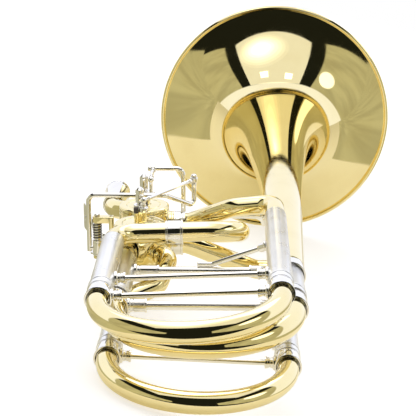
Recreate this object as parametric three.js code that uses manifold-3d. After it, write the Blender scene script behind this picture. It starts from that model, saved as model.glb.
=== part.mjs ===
// Bell section of a bass trombone with two rotary valves, in millimetres, +Z up.
// The instrument lies on its bell rim and on its lower bow.
// Inside the instrument group the bell axis is Y, the bell mouth faces +Y, and the
// origin of that group is the centre of the bell rim.

import * as THREE from 'three';
import { mergeVertices } from 'three/addons/utils/BufferGeometryUtils.js';
import Module from 'manifold-3d';

const wasm = await Module();
wasm.setup();

// Fits
const seatGap = 0.3;
const slideGap = 0.35;
const runningGap = 0.4;
const cutOverrun = 3;

// Facets
const bellSides = 28;
const tubeSides = 10;
const rodSides = 6;
const roundSides = 12;
const casingSides = 20;
const bowSteps = 6;
const bendSteps = 4;
const rodSteps = 2;
const curlSteps = 8;
const springSides = 5;

// Resting pose in degrees: the weight of the tubing rolls the instrument to its left, and the
// tilt brings the bell rim and the lower bow down to one level
const restTilt = 6.48;
const restRoll = -10.9;

// Bell
const bellRimRadius = 120.65;
const bellWall = 0.8;
const bellBeadRadius = 1.9;
const bellFlareReach = 8.7;
const bellFlarePower = 0.38;
const bellTailEnd = 466;
const bellRings = 11;
const beadSteps = 5;
const beadStartAngle = -140;
const beadEndAngle = 90;

// Main slide tubing, whose right leg lies on the bell axis
const mainSpacing = 124;
const mainBowDiameter = 18.3;
const mainBowWall = 0.7;
const mainOuterWall = 0.6;
const mainOuterEnd = 528;
const mainLeftTop = 450;
const mainBowStart = 546;
const mainInnerTop = 474;
const mainFerruleLength = 14;
const ferruleGap = 0.45;
const ferruleWall = 0.8;
const ferruleBead = 0.5;
const ferruleBeadWidth = 1.3;
const closedSlideGap = 1;

// Valve line tubing
const lineDiameter = 16;
const lineWall = 0.8;
const portWall = 1.1;

// Attachment slide tubing
const slideTubeDiameter = 15;
const slideTubeWall = 0.6;
const outerTubeWall = 0.55;
const attachmentBowStart = 583;
const attachmentFerruleLength = 13;
const attachmentInnerTop = 495;
const branchDiameter = 15.1;
const branchWall = 0.7;
const upperLeftOut = 6.2;
const upperLeftHeight = 21;
const upperRightAcross = 9.5;
const upperRightHeight = 26.1;
const upperLeftTop = 466;
const upperRightTop = 419;
const lowerLeftOut = 1;
const lowerLeftDepth = 21;
const lowerRightAcross = 4.2;
const lowerRightDepth = 26.1;
const lowerLeftTop = 492;
const lowerRightTop = 419;

// Rotary valves, with upright axes
const portChord = 10.6;
const farValveBack = 371;
const nearValveBack = 418;
const casingRadius = 20;
const casingWall = 1.7;
const casingHalfHeight = 17;
const capThickness = 3.4;
const capOverhang = 1;
const plateThickness = 3.2;
const bossRadius = 4.8;
const nearBossTop = 31.3;
const farBossTop = 28;
const spindleRadius = 2.4;
const spindleTopGap = 2;
const portReach = 23.2;
const linePortReach = 21;
const rotorBoreRadius = 5.8;
const rotorPassageBendShare = 0.8;
const farPortRise = 2;
const stopArmThickness = 3.6;
const stopArmReach = 8.5;
const stopArmHalfWidth = 2.7;
const stopPadRadius = 3.6;
const bumperRadius = 1.9;
const bumperPostRadius = 1.3;
const bumperHeight = 4.2;
const spindleCapRadius = 3.3;
const spindleCapLength = 11.6;
const nearStopAngle = -66;
const farStopAngle = -45;

// Receiver and gooseneck
const receiverOut = 20;
const receiverHeight = -3;
const receiverMouthBack = 262;
const receiverLength = 38;
const receiverMouthRadius = 11;
const receiverBoreRadius = 9.4;
const receiverLipLength = 6;
const receiverSeatDepth = 9;
const gooseneckBend = 18;
const gooseneckLean = 17;
const gooseneckBendBack = 318.5;
const gooseneckFerruleLength = 9;
const gooseneckFerruleBack = 338;

// Braces
const wideBraceSetback = 2.7;
const wideBraceRadius = 3.1;
const wideBraceSleeveRadius = 4.3;
const wideBraceSleeveLength = 18;
const attachmentBraceBack = 543;
const attachmentBraceRadius = 2;
const attachmentSocketRadius = 3.6;
const attachmentSocketLength = 7;
const mainBraceRadius = 3.2;
const mainBraceSleeveRadius = 4.6;
const mainBraceSleeveLength = 13;
const bellBraceBack = 334;
const bellBraceRadius = 3;
const bellFlangeRadius = 9.5;
const bellFlangeThickness = 2.4;
const strutRadius = 1.9;
const strutFootAcross = 57;
const strutFootLength = 11;
const strutBend = 5;
const strutTopBack = 479;
const strutSocketRadius = 3.3;
const strutSocketLength = 7;

// First lever, which turns about an upright screw and works the near valve
const rodRadius = 1.9;
const rodBend = 5.5;
const hingeOut = 25;
const hingeBack = 395;
const hingeScrewRadius = 1.2;
const barrelRadius = 2.6;
const barrelTop = 12.6;
const barrelFoot = -14;
const sleeveRadius = 4;
const sleeveTop = -1.4;
const upperLugThickness = 5;
const lowerLugThickness = 2.4;
const lugHalfWidth = 3.6;
const spineOffset = 9.5;
const spineThickness = 3.5;
const bracketBarFoot = 1;
const bracketBarTop = 7;
const springWireRadius = 0.45;
const springTurns = 6;
const firstRodHeight = 35.4;
const firstRodOut = 6.5;
const firstRodFoot = -11;
const firstArmHeight = -8;
const firstRodTurnInset = 18.4;
const firstEyeInset = 40;
const firstEyeBack = 369.5;
const firstPostFoot = 19;
const firstPostBend = 4;
const firstLinkHeight = 41;

// Thumb paddles
const paddleLength = 22;
const paddleWidth = 14;
const paddleThickness = 1.6;
const paddleSlotLength = 7;
const paddleSlotWidth = 1.8;
const paddleSlotOffset = 4;
const paddleScrewRadius = 1.6;
const paddleArmRadius = 1.9;
const paddleArmBend = 3;
const paddleArmOverlap = 3;
const firstPaddleOut = 12;
const firstPaddleBack = 361;
const firstPaddleHeight = 6;
const firstPaddleTurn = 20;
const firstPaddleKneeOut = 2;
const firstPaddleKneeBack = 381;
const firstPaddleKneeHeight = -5;
const secondPaddleOut = 26;
const secondPaddleBack = 368;
const secondPaddleDepth = 19;
const secondPaddleArmInset = 4;
const secondPaddleKneeBack = 354;

// Second lever, which turns about a level bar and works the far valve
const secondBarBack = 345;
const secondBarDepth = 14.6;
const secondBarRadius = 2.4;
const secondBarRightInset = 44;
const secondBarLeftOut = 26;
const bearingWall = 1.6;
const bearingWidth = 4;
const bearingStrapRadius = 1.9;
const rightBearingInset = 10;
const leftBearingOut = 3;
const secondRodInset = 3;
const secondLinkHeight = 43;

// Links
const linkRadius = 1.4;
const ballRadius = 2.5;
const studRadius = 1.3;
const eyeWall = 1.5;
const eyeThickness = 3.8;
const screwHeadRadius = 2.4;
const screwHeadLength = 2.2;

// Branch tubes
const feedLead = 12;
const branchBend = 14;
const tightBend = 9.5;
const gentleBend = 12;
const wideBend = 30;
const elbowBend = 17;
const feedRiseAcross = 42;
const feedRiseBack = 379;
const feedRiseHeight = 21;
const upperCrookBack = 385;
const returnBend = 26;
const returnAcross = 36.5;
const overLegBack = 446;
const overLegHeight = 24;
const dropEndAcross = 24;
const lowerCrookBack = 394;
const crossUnderLead = 9;
const crossUnderInset = 26;
const crossUnderBack = 464;
const crossUnderDepth = 14;
const lowerElbowBack = 478;
const feedFerruleLength = 9;
const returnFerruleLength = 13;
const returnFerruleOffset = 38;

// Finishes
const lacqueredBrass = { color: 0xe8c468, roughness: 0.22, metalness: 1 };
const nickelSilver = { color: 0xdedad2, roughness: 0.18, metalness: 1 };
const cork = { color: 0x6b4a2b, roughness: 0.9, metalness: 0 };
const springSteel = { color: 0x4a4844, roughness: 0.4, metalness: 1 };

// Helpers

const degrees = THREE.MathUtils.degToRad;
const upright = new THREE.Vector3(0, 0, 1);
const endwise = new THREE.Vector3(0, 1, 0);
const crosswise = new THREE.Vector3(1, 0, 0);

// Places are given as millimetres to the right, behind the bell rim and above the bell axis
function place(right, back, above) {
  return new THREE.Vector3(right, -back, above);
}

function circle(radius, sides) {
  const corners = [];
  for (let corner = 0; corner < sides; corner += 1) {
    const turn = (2 * Math.PI * corner) / sides;
    corners.push(new THREE.Vector2(radius * Math.cos(turn), radius * Math.sin(turn)));
  }
  return corners;
}

// A route with a station wherever the tube needs a ring
class StationRoute extends THREE.Curve {
  constructor(stations = []) {
    super();
    this.stations = stations;
  }

  stationAt(share) {
    return this.stations[Math.round(share * (this.stations.length - 1))];
  }

  getPointAt(share, target = new THREE.Vector3()) {
    return target.copy(this.stationAt(share).position);
  }

  getTangentAt(share, target = new THREE.Vector3()) {
    return target.copy(this.stationAt(share).tangent);
  }
}

// Straight runs joined by round bends
class BentRoute extends StationRoute {
  constructor(corners, bend, steps = bendSteps) {
    super();
    const last = corners.length - 1;
    this.addStation(corners[0], corners[1].clone().sub(corners[0]).normalize());
    for (let corner = 1; corner < last; corner += 1) {
      const radius = Array.isArray(bend) ? bend[corner - 1] : bend;
      this.addBend(corners[corner - 1], corners[corner], corners[corner + 1], radius, steps);
    }
    this.addStation(corners[last], corners[last].clone().sub(corners[last - 1]).normalize());
  }

  addBend(before, corner, after, radius, steps) {
    const heading = corner.clone().sub(before).normalize();
    const leaving = after.clone().sub(corner).normalize();
    const turn = heading.angleTo(leaving);
    const axis = heading.clone().cross(leaving).normalize();
    const inward = axis.clone().cross(heading).multiplyScalar(radius);
    const start = corner.clone().addScaledVector(heading, -radius * Math.tan(turn / 2));
    const centre = start.clone().add(inward);
    const rings = Math.ceil((steps * turn) / (Math.PI / 2) - Number.EPSILON * steps);
    for (let ring = 0; ring <= rings; ring += 1) {
      const angle = (turn * ring) / rings;
      const spoke = inward.clone().negate().applyAxisAngle(axis, angle);
      this.addStation(centre.clone().add(spoke), heading.clone().applyAxisAngle(axis, angle));
    }
  }

  addStation(position, tangent) {
    const previous = this.stations.at(-1);
    if (previous && previous.position.distanceTo(position) < seatGap) {
      return;
    }
    this.stations.push({ position, tangent });
  }
}

function sweep(route, section) {
  return new THREE.ExtrudeGeometry(section, {
    steps: route.stations.length - 1,
    extrudePath: route,
    bevelEnabled: false,
  });
}

function tube(corners, bend, outerRadius, innerRadius, steps = bendSteps) {
  const section = new THREE.Shape(circle(outerRadius, tubeSides));
  section.holes.push(new THREE.Path(circle(innerRadius, tubeSides)));
  return sweep(new BentRoute(corners, bend, steps), section);
}

function rod(corners, bend, radius, sides = rodSides) {
  return sweep(new BentRoute(corners, bend, rodSteps), new THREE.Shape(circle(radius, sides)));
}

// Turns an outline of radius and height pairs round Y, then lays that axis along another
function turned(outline, axis, sides = roundSides) {
  const points = outline.map(([radius, height]) => new THREE.Vector2(radius, height));
  if (points[0].x > 0) {
    if (THREE.ShapeUtils.area(points) < 0) {
      points.reverse();
    }
    points.push(points[0].clone());
  }
  const geometry = new THREE.LatheGeometry(points, sides);
  const lay = new THREE.Quaternion().setFromUnitVectors(endwise, axis);
  return geometry.applyQuaternion(lay);
}

function ring(innerRadius, outerRadius, from, to, axis, sides = roundSides) {
  const outline = [[innerRadius, from], [outerRadius, from], [outerRadius, to], [innerRadius, to]];
  return turned(outline, axis, sides);
}

function plug(radius, from, to, axis, sides = roundSides) {
  return turned([[0, from], [radius, from], [radius, to], [0, to]], axis, sides);
}

function block(low, high) {
  const size = high.clone().sub(low);
  const middle = high.clone().add(low).multiplyScalar(1 / 2);
  return new THREE.BoxGeometry(size.x, size.y, size.z).translate(middle.x, middle.y, middle.z);
}

function moved(geometry, position) {
  return geometry.translate(position.x, position.y, position.z);
}

// A closed solid for cutting and joining
function toSolid(geometry) {
  const bare = new THREE.BufferGeometry();
  bare.setAttribute('position', geometry.getAttribute('position').clone());
  bare.setIndex(geometry.index ? geometry.index.clone() : null);
  const merged = mergeVertices(bare);
  const corners = merged.index.array;
  const faces = [];
  for (let face = 0; face < corners.length; face += 3) {
    const [a, b, c] = corners.slice(face, face + 3);
    if (a !== b && b !== c && c !== a) {
      faces.push(a, b, c);
    }
  }
  const vertProperties = Float32Array.from(merged.getAttribute('position').array);
  return new wasm.Manifold(new wasm.Mesh({ numProp: 3, vertProperties, triVerts: Uint32Array.from(faces) }));
}

function fromSolid(solid) {
  const mesh = solid.getMesh();
  const geometry = new THREE.BufferGeometry();
  geometry.setAttribute('position', new THREE.BufferAttribute(mesh.vertProperties, 3));
  geometry.setIndex(new THREE.BufferAttribute(mesh.triVerts, 1));
  geometry.computeVertexNormals();
  return geometry;
}

function join(first, ...others) {
  return fromSolid(others.reduce((whole, other) => whole.add(toSolid(other)), toSolid(first)));
}

function cut(body, ...tools) {
  return fromSolid(tools.reduce((whole, tool) => whole.subtract(toSolid(tool)), toSolid(body)));
}

function add(parent, name, geometry, finish) {
  const mesh = new THREE.Mesh(geometry, new THREE.MeshStandardMaterial(finish));
  mesh.name = name;
  parent.add(mesh);
  return mesh;
}

// A long cutter along a leg that runs from the tail towards the mouth
function legCutter(leg, radius, back, reach) {
  return moved(plug(radius, -reach, reach, endwise, casingSides), place(leg.x, back, leg.z));
}

// A brace between two parallel legs, cut to saddle the tubes that it is soldered to
function brace(from, to, back, sizes, fromRadius, toRadius) {
  const start = place(from.x, back, from.z);
  const span = place(to.x, back, to.z).sub(start);
  const length = span.length();
  const { radius, socketRadius, socketLength } = sizes;
  const nearSocket = fromRadius + socketLength;
  const farSocket = length - toRadius - socketLength;
  const outline = [
    [0, 0], [socketRadius, 0], [socketRadius, nearSocket], [radius, nearSocket + radius],
    [radius, farSocket - radius], [socketRadius, farSocket], [socketRadius, length], [0, length],
  ];
  const lay = new THREE.Quaternion().setFromUnitVectors(endwise, span.normalize());
  const bar = turned(outline, endwise, roundSides).applyQuaternion(lay);
  return cut(
    moved(bar, start),
    legCutter(from, fromRadius + seatGap, back, socketRadius + cutOverrun),
    legCutter(to, toRadius + seatGap, back, socketRadius + cutOverrun),
  );
}

// Radii

const mainTubeRadius = mainBowDiameter / 2;
const mainOuterRadius = mainTubeRadius + slideGap + mainOuterWall;
const slideTubeRadius = slideTubeDiameter / 2;
const attachmentOuterRadius = slideTubeRadius + slideGap + outerTubeWall;
const branchRadius = branchDiameter / 2;
const lineRadius = lineDiameter / 2;
const attachmentOuterEnd = attachmentBowStart - attachmentFerruleLength - closedSlideGap;

// Bell

// The flare narrows from the rim to the ferrule that joins its tail to the main tube
const bellTailRadius = mainOuterRadius + ferruleGap + ferruleWall;

function flareShare(back) {
  return (bellFlareReach / (back + bellFlareReach)) ** bellFlarePower;
}

const bellFlareSpread = (bellRimRadius - bellTailRadius) / (1 - flareShare(bellTailEnd));
const bellAsymptote = bellRimRadius - bellFlareSpread;

function bellRadiusAt(back) {
  return bellAsymptote + bellFlareSpread * flareShare(back);
}

function bellBackAt(radius) {
  const share = (radius - bellAsymptote) / bellFlareSpread;
  return bellFlareReach * (share ** (-1 / bellFlarePower) - 1);
}

// How far the inside of the sheet lies from its outside, square to the flare
function bellInside(back) {
  const slope = (-bellFlarePower * bellFlareSpread * flareShare(back)) / (back + bellFlareReach);
  const stretch = Math.hypot(1, slope);
  return [bellRadiusAt(back) - bellWall / stretch, -back - (bellWall * slope) / stretch];
}

function bellOutline() {
  const rimRoot = bellBackAt(bellRimRadius - 2 * bellBeadRadius - bellWall);
  const growth = (bellTailEnd + bellFlareReach) / (rimRoot + bellFlareReach);
  const backs = [];
  for (let ring = 0; ring <= bellRings; ring += 1) {
    backs.push((rimRoot + bellFlareReach) * growth ** (ring / bellRings) - bellFlareReach);
  }
  const outside = backs.map((back) => [bellRadiusAt(back), -back]).reverse();
  const bead = [];
  for (let step = 0; step <= beadSteps; step += 1) {
    const angle = degrees(THREE.MathUtils.lerp(beadStartAngle, beadEndAngle, step / beadSteps));
    bead.push([
      bellRimRadius - bellBeadRadius + bellBeadRadius * Math.cos(angle),
      -bellBeadRadius + bellBeadRadius * Math.sin(angle),
    ]);
  }
  return [...outside, ...bead, ...backs.map(bellInside)];
}

// The bell is turned about its axis so that one flat of its rim lies on the floor
function addBell(parent) {
  const flatDown = Math.PI / bellSides - degrees(restRoll);
  const flare = turned(bellOutline(), endwise, bellSides).rotateY(flatDown);
  add(parent, 'bell', flare, lacqueredBrass);
}

// Ferrule: a ring with a raised bead at one end, along Y from its mouth end towards the tail

function ferruleRing(innerRadius, length) {
  const outerRadius = innerRadius + ferruleWall;
  const beadRadius = outerRadius + ferruleBead;
  return turned([
    [innerRadius, -length], [outerRadius, -length], [outerRadius, -ferruleBeadWidth],
    [beadRadius, -ferruleBeadWidth], [beadRadius, 0], [innerRadius, 0],
  ], endwise);
}

// Straight tube along a leg, from its top to its end, both measured behind the bell rim
function legTube(leg, top, end, outerRadius, innerRadius) {
  return tube([place(leg.x, top, leg.z), place(leg.x, end, leg.z)], 0, outerRadius, innerRadius);
}

// Legs

const mainRight = { x: 0, z: 0 };
const mainLeft = { x: -mainSpacing, z: 0 };
const upperRight = { x: -upperRightAcross, z: upperRightHeight };
const upperLeft = { x: -mainSpacing - upperLeftOut, z: upperLeftHeight };
const lowerRight = { x: -lowerRightAcross, z: -lowerRightDepth };
const lowerLeft = { x: -mainSpacing - lowerLeftOut, z: -lowerLeftDepth };

// Slides, which move towards the tail: a bow, two inner tubes and a brace soldered to its two ferrules

function bow(left, right, start, outerRadius, innerRadius) {
  const radius = Math.hypot(right.x - left.x, right.z - left.z) / 2;
  return tube([
    place(left.x, start, left.z),
    place(left.x, start + radius, left.z),
    place(right.x, start + radius, right.z),
    place(right.x, start, right.z),
  ], radius, outerRadius, innerRadius, bowSteps);
}

function addSlide(parent, name, sizes, braceSizes) {
  const { left, right, bowStart, innerTop, bowRadius, bowWall, innerRadius, ferruleLength } = sizes;
  const ferruleInner = Math.max(bowRadius, innerRadius) + ferruleGap;
  const ferruleOuter = ferruleInner + ferruleWall;
  add(parent, `${name}_bow`, bow(left, right, bowStart, bowRadius, bowRadius - bowWall), lacqueredBrass);
  const bore = innerRadius - slideTubeWall;
  for (const [side, leg] of Object.entries({ left, right })) {
    const body = legTube(leg, innerTop, bowStart - seatGap, innerRadius, bore);
    add(parent, `${name}_inner_tube_${side}`, body, nickelSilver);
  }
  const ferrules = [left, right].map((leg) => (
    moved(ferruleRing(ferruleInner, ferruleLength), place(leg.x, bowStart - ferruleLength, leg.z))
  ));
  const middle = bowStart - ferruleLength / 2;
  const hold = ferruleOuter - ferruleWall / 2 - seatGap;
  const bar = brace(left, right, middle, braceSizes, hold, hold);
  add(parent, `${name}_brace`, join(bar, ...ferrules), nickelSilver);
}

const attachmentBraceSizes = {
  radius: attachmentBraceRadius,
  socketRadius: attachmentSocketRadius,
  socketLength: attachmentSocketLength,
};

function addMainSlide(parent) {
  addSlide(parent, 'main_slide', {
    left: mainLeft,
    right: mainRight,
    bowStart: mainBowStart,
    innerTop: mainInnerTop,
    bowRadius: mainTubeRadius,
    bowWall: mainBowWall,
    innerRadius: mainTubeRadius,
    ferruleLength: mainFerruleLength,
  }, {
    radius: mainBraceRadius,
    socketRadius: mainBraceSleeveRadius,
    socketLength: mainBraceSleeveLength,
  });
}

function addAttachmentSlide(parent, name, left, right) {
  addSlide(parent, name, {
    left,
    right,
    bowStart: attachmentBowStart,
    innerTop: attachmentInnerTop,
    bowRadius: branchRadius,
    bowWall: branchWall,
    innerRadius: slideTubeRadius,
    ferruleLength: attachmentFerruleLength,
  }, attachmentBraceSizes);
}

// Outer tubes that the slides run in, and the ferrule on the bell tail

function addOuterTubes(parent) {
  const mainInside = mainOuterRadius - mainOuterWall;
  const ferruleTop = bellTailEnd + seatGap;
  add(parent, 'main_outer_tube_right',
    legTube(mainRight, bellTailEnd + seatGap, mainOuterEnd, mainOuterRadius, mainInside), nickelSilver);
  add(parent, 'bell_tail_ferrule', moved(turned([
    [mainOuterRadius + ferruleGap, -mainFerruleLength],
    [bellTailRadius + ferruleBead, -mainFerruleLength],
    [bellTailRadius + ferruleBead, -mainFerruleLength + ferruleBeadWidth],
    [bellTailRadius, -mainFerruleLength + 2 * ferruleBeadWidth],
    [bellTailRadius, 0],
    [mainOuterRadius + ferruleGap, 0],
  ], endwise), place(mainRight.x, ferruleTop, mainRight.z)), nickelSilver);
  add(parent, 'main_outer_tube_left',
    legTube(mainLeft, mainLeftTop, mainOuterEnd, mainOuterRadius, mainInside), nickelSilver);
  const attachmentInside = attachmentOuterRadius - outerTubeWall;
  const tubes = [
    ['upper_outer_tube_left', upperLeft, upperLeftTop],
    ['upper_outer_tube_right', upperRight, upperRightTop],
    ['lower_outer_tube_left', lowerLeft, lowerLeftTop],
    ['lower_outer_tube_right', lowerRight, lowerRightTop],
  ];
  for (const [name, leg, top] of tubes) {
    const body = legTube(leg, top, attachmentOuterEnd, attachmentOuterRadius, attachmentInside);
    add(parent, name, body, nickelSilver);
  }
}

// Rotary valves. Each valve group has its origin on the valve axis, level with the bell axis.

const valveAcross = mainSpacing - portChord;
const portBoreRadius = branchRadius - branchWall;
const portSleeveRadius = lineRadius + portWall;
const casingInside = casingRadius - casingWall;

// Ports as a start inside the casing and an end outside it
function linePort(side) {
  return [new THREE.Vector3(-portChord, 0, 0), new THREE.Vector3(-portChord, side * linePortReach, 0)];
}

function levelPort(side, rise) {
  return [new THREE.Vector3(0, side * portChord, rise), new THREE.Vector3(portReach, side * portChord, rise)];
}

function slantPort(side) {
  const reach = portReach * Math.SQRT1_2;
  return [new THREE.Vector3(0, 0, 0), new THREE.Vector3(reach, side * reach, 0)];
}

const valves = {
  far: {
    back: farValveBack,
    bossTop: farBossTop,
    stopAngle: farStopAngle,
    ports: {
      inlet: linePort(1),
      outlet: linePort(-1),
      feed: levelPort(1, farPortRise),
      back: levelPort(-1, 0),
    },
  },
  near: {
    back: nearValveBack,
    bossTop: nearBossTop,
    stopAngle: nearStopAngle,
    ports: {
      inlet: linePort(1),
      outlet: linePort(-1),
      feed: levelPort(1, 0),
      back: slantPort(-1),
    },
  },
};

function beyond([start, end], extra) {
  const heading = end.clone().sub(start).normalize();
  return [start, end.clone().addScaledVector(heading, extra)];
}

function casing(valve) {
  const drum = plug(casingRadius, -casingHalfHeight, casingHalfHeight, upright, casingSides);
  const ports = Object.values(valve.ports);
  const sleeves = ports.map((port) => rod(port, 0, portSleeveRadius, roundSides));
  const chamberTop = casingHalfHeight + cutOverrun;
  const chamber = plug(casingInside, -chamberTop, chamberTop, upright, casingSides);
  const bores = ports.map((port) => rod(beyond(port, cutOverrun), 0, portBoreRadius, tubeSides));
  return cut(join(drum, ...sleeves), chamber, ...bores);
}

function casingCap() {
  const top = -casingHalfHeight - seatGap;
  const foot = top - capThickness;
  const rim = casingRadius + capOverhang;
  return turned([[0, foot], [rim - capOverhang, foot], [rim, foot + capOverhang], [rim, top], [0, top]],
    upright, casingSides);
}

function bearingPlate(valve) {
  const foot = casingHalfHeight + seatGap;
  const top = foot + plateThickness;
  const bore = spindleRadius + runningGap;
  const plate = turned([
    [bore, foot], [casingRadius, foot], [casingRadius, top - capOverhang], [casingRadius - capOverhang, top],
    [bossRadius + capOverhang, top], [bossRadius, top + capOverhang], [bossRadius, valve.bossTop],
    [bore, valve.bossTop],
  ], upright, casingSides);
  const posts = bumperPlaces(valve).map((at) => (
    moved(plug(bumperPostRadius, top - plateThickness / 2, valve.bossTop - seatGap, upright, rodSides), at)
  ));
  return join(plate, ...posts);
}

// A bumper beside the pad of the stop arm at each end of its quarter turn
function bumperPlaces(valve) {
  const apart = stopPadRadius + bumperRadius + runningGap;
  const spread = 2 * Math.asin(apart / (2 * stopArmReach));
  const rest = degrees(valve.stopAngle);
  return [rest - spread, rest + Math.PI / 2 + spread].map((angle) => (
    new THREE.Vector3(stopArmReach * Math.cos(angle), stopArmReach * Math.sin(angle), 0)
  ));
}

function addBumpers(parent, name, valve) {
  const sides = ['first', 'second'];
  bumperPlaces(valve).forEach((at, index) => {
    const peg = plug(bumperRadius, valve.bossTop, valve.bossTop + bumperHeight, upright, rodSides);
    add(parent, `${name}_${sides[index]}_bumper`, moved(peg, at), cork);
  });
}

// Rotor with its two curved passages, its spindle and the cap screwed on the spindle
function rotor(valve) {
  const radius = casingInside - runningGap;
  const half = casingHalfHeight - runningGap;
  const capFoot = stopArmTop(valve) + spindleTopGap;
  const top = capFoot + spindleCapLength;
  const round = spindleCapRadius / 2;
  const body = turned([
    [0, -half], [radius, -half], [radius, half], [spindleRadius, half], [spindleRadius, capFoot],
    [spindleCapRadius, capFoot], [spindleCapRadius, top - round],
    [spindleCapRadius - round / 2, top - round / 2], [spindleCapRadius - round, top], [0, top],
  ], upright, casingSides);
  const mouth = casingRadius * Math.SQRT1_2;
  const bend = (casingRadius * rotorPassageBendShare);
  const passages = [-1, 1].map((side) => rod([
    new THREE.Vector3(side * mouth, mouth, 0),
    new THREE.Vector3(0, 0, 0),
    new THREE.Vector3(side * mouth, -mouth, 0),
  ], bend, rotorBoreRadius, tubeSides));
  return cut(body, ...passages);
}

function stopArmFoot(valve) {
  return valve.bossTop + runningGap;
}

function stopArmTop(valve) {
  return stopArmFoot(valve) + stopArmThickness;
}

// Stop arm at its resting angle, with a round pad under the ball of the link
function stopArm(valve) {
  const foot = stopArmFoot(valve);
  const top = stopArmTop(valve);
  const hub = plug(bossRadius, foot, top, upright);
  const arm = block(
    new THREE.Vector3(0, -stopArmHalfWidth, foot),
    new THREE.Vector3(stopArmReach, stopArmHalfWidth, top),
  );
  const pad = moved(plug(stopPadRadius, foot, top, upright), new THREE.Vector3(stopArmReach, 0, 0));
  const bore = plug(spindleRadius + seatGap, foot - cutOverrun, top + cutOverrun, upright);
  return cut(join(hub, arm, pad), bore).rotateZ(degrees(valve.stopAngle));
}

function addValve(parent, name) {
  const valve = valves[name];
  const group = new THREE.Group();
  group.position.copy(place(-valveAcross, valve.back, 0));
  parent.add(group);
  add(group, `${name}_valve_casing`, casing(valve), lacqueredBrass);
  add(group, `${name}_casing_cap`, casingCap(), lacqueredBrass);
  add(group, `${name}_bearing_plate`, bearingPlate(valve), lacqueredBrass);
  addBumpers(group, name, valve);
  add(group, `${name}_rotor`, rotor(valve), nickelSilver);
  add(group, `${name}_stop_arm`, stopArm(valve), nickelSilver);
}

// The mouth of a port in the instrument's frame, a seat gap beyond its sleeve
function portMouth(name, port, extra = 0) {
  const valve = valves[name];
  const [, end] = beyond(valve.ports[port], seatGap + extra);
  return end.clone().add(place(-valveAcross, valve.back, 0));
}

// Line tubing from the receiver to the main slide

const receiverAcross = mainSpacing + receiverOut;

function addLine(parent) {
  const inside = lineRadius - lineWall;
  const farTop = portMouth('far', 'inlet');
  const shoulderBack = receiverMouthBack + receiverLength;
  const lean = gooseneckLean / 2;
  add(parent, 'gooseneck', tube([
    place(-receiverAcross, shoulderBack - receiverSeatDepth, receiverHeight),
    place(-receiverAcross, gooseneckBendBack - lean, receiverHeight),
    place(-mainSpacing, gooseneckBendBack + lean, 0),
    farTop,
  ], gooseneckBend, lineRadius, inside), lacqueredBrass);
  add(parent, 'receiver', moved(turned([
    [lineRadius + seatGap, -receiverLength],
    [lineRadius + seatGap + ferruleWall, -receiverLength],
    [receiverMouthRadius, -receiverLipLength],
    [receiverMouthRadius, 0],
    [receiverBoreRadius, 0],
    [lineRadius + seatGap, -receiverLength + receiverSeatDepth + seatGap],
  ], endwise, casingSides), place(-receiverAcross, receiverMouthBack, receiverHeight)), nickelSilver);
  add(parent, 'gooseneck_ferrule', moved(ferruleRing(lineRadius + ferruleGap, gooseneckFerruleLength),
    place(-mainSpacing, gooseneckFerruleBack, 0)), nickelSilver);
  const linkEnds = [portMouth('far', 'outlet'), portMouth('near', 'inlet')];
  add(parent, 'valve_link_tube', tube(linkEnds, 0, lineRadius, inside), lacqueredBrass);
  add(parent, 'valve_outlet_tube', tube([
    portMouth('near', 'outlet'),
    place(-mainSpacing, mainLeftTop - seatGap, 0),
  ], 0, lineRadius, inside), lacqueredBrass);
}

// Braces

// The wide brace lies a little behind the top of the bell's tail ferrule
const wideBraceBack = bellTailEnd + seatGap + wideBraceSetback;

function addBraces(parent) {
  add(parent, 'wide_brace', brace(mainLeft, mainRight, wideBraceBack, {
    radius: wideBraceRadius,
    socketRadius: wideBraceSleeveRadius,
    socketLength: wideBraceSleeveLength,
  }, mainOuterRadius, bellTailRadius + ferruleBead), nickelSilver);
  const outer = attachmentOuterRadius;
  add(parent, 'upper_outer_brace',
    brace(upperLeft, upperRight, attachmentBraceBack, attachmentBraceSizes, outer, outer), nickelSilver);
  add(parent, 'lower_outer_brace',
    brace(lowerLeft, lowerRight, attachmentBraceBack, attachmentBraceSizes, outer, outer), nickelSilver);
  add(parent, 'bell_brace', bellBrace(), nickelSilver);
  add(parent, 'strut', strut(), nickelSilver);
}

// Rod from the gooseneck to the bell stem, with a flange shaped to the stem
function bellBrace() {
  const stemRadius = bellRadiusAt(bellBraceBack - bellFlangeRadius) + seatGap;
  const gooseneckRadius = lineRadius + seatGap;
  const bar = plug(bellBraceRadius, -mainSpacing, 0, crosswise);
  const socketEnd = attachmentSocketLength - mainSpacing + lineRadius;
  const socket = plug(attachmentSocketRadius, -mainSpacing, socketEnd, crosswise);
  const flange = plug(bellFlangeRadius, -stemRadius - bellFlangeThickness, 0, crosswise);
  return cut(
    moved(join(bar, socket, flange), place(0, bellBraceBack, 0)),
    legCutter(mainLeft, gooseneckRadius, bellBraceBack, bellFlangeRadius + cutOverrun),
    legCutter(mainRight, stemRadius, bellBraceBack, bellFlangeRadius + cutOverrun),
  );
}

// Rod from a flat foot on the wide brace up to the right upper outer tube
function strut() {
  const footHeight = wideBraceRadius + seatGap + strutRadius;
  const top = place(upperRight.x, strutTopBack, upperRight.z);
  const bendPlace = place(-strutFootAcross, wideBraceBack, footHeight);
  const heading = top.clone().sub(bendPlace).normalize();
  const socketFrom = top.clone().addScaledVector(heading, -attachmentOuterRadius - strutSocketLength);
  const bar = rod([
    place(-strutFootAcross - strutFootLength, wideBraceBack, footHeight),
    bendPlace,
    top,
  ], strutBend, strutRadius, tubeSides);
  const socket = rod([socketFrom, top], 0, strutSocketRadius, tubeSides);
  return cut(
    join(bar, socket),
    legCutter(upperRight, attachmentOuterRadius + seatGap, strutTopBack, attachmentOuterRadius * 2),
  );
}

// Branch tubes between the valve ports and the outer tubes of the two attachment slides

function legTop(leg, back) {
  return place(leg.x, back - seatGap, leg.z);
}

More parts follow.
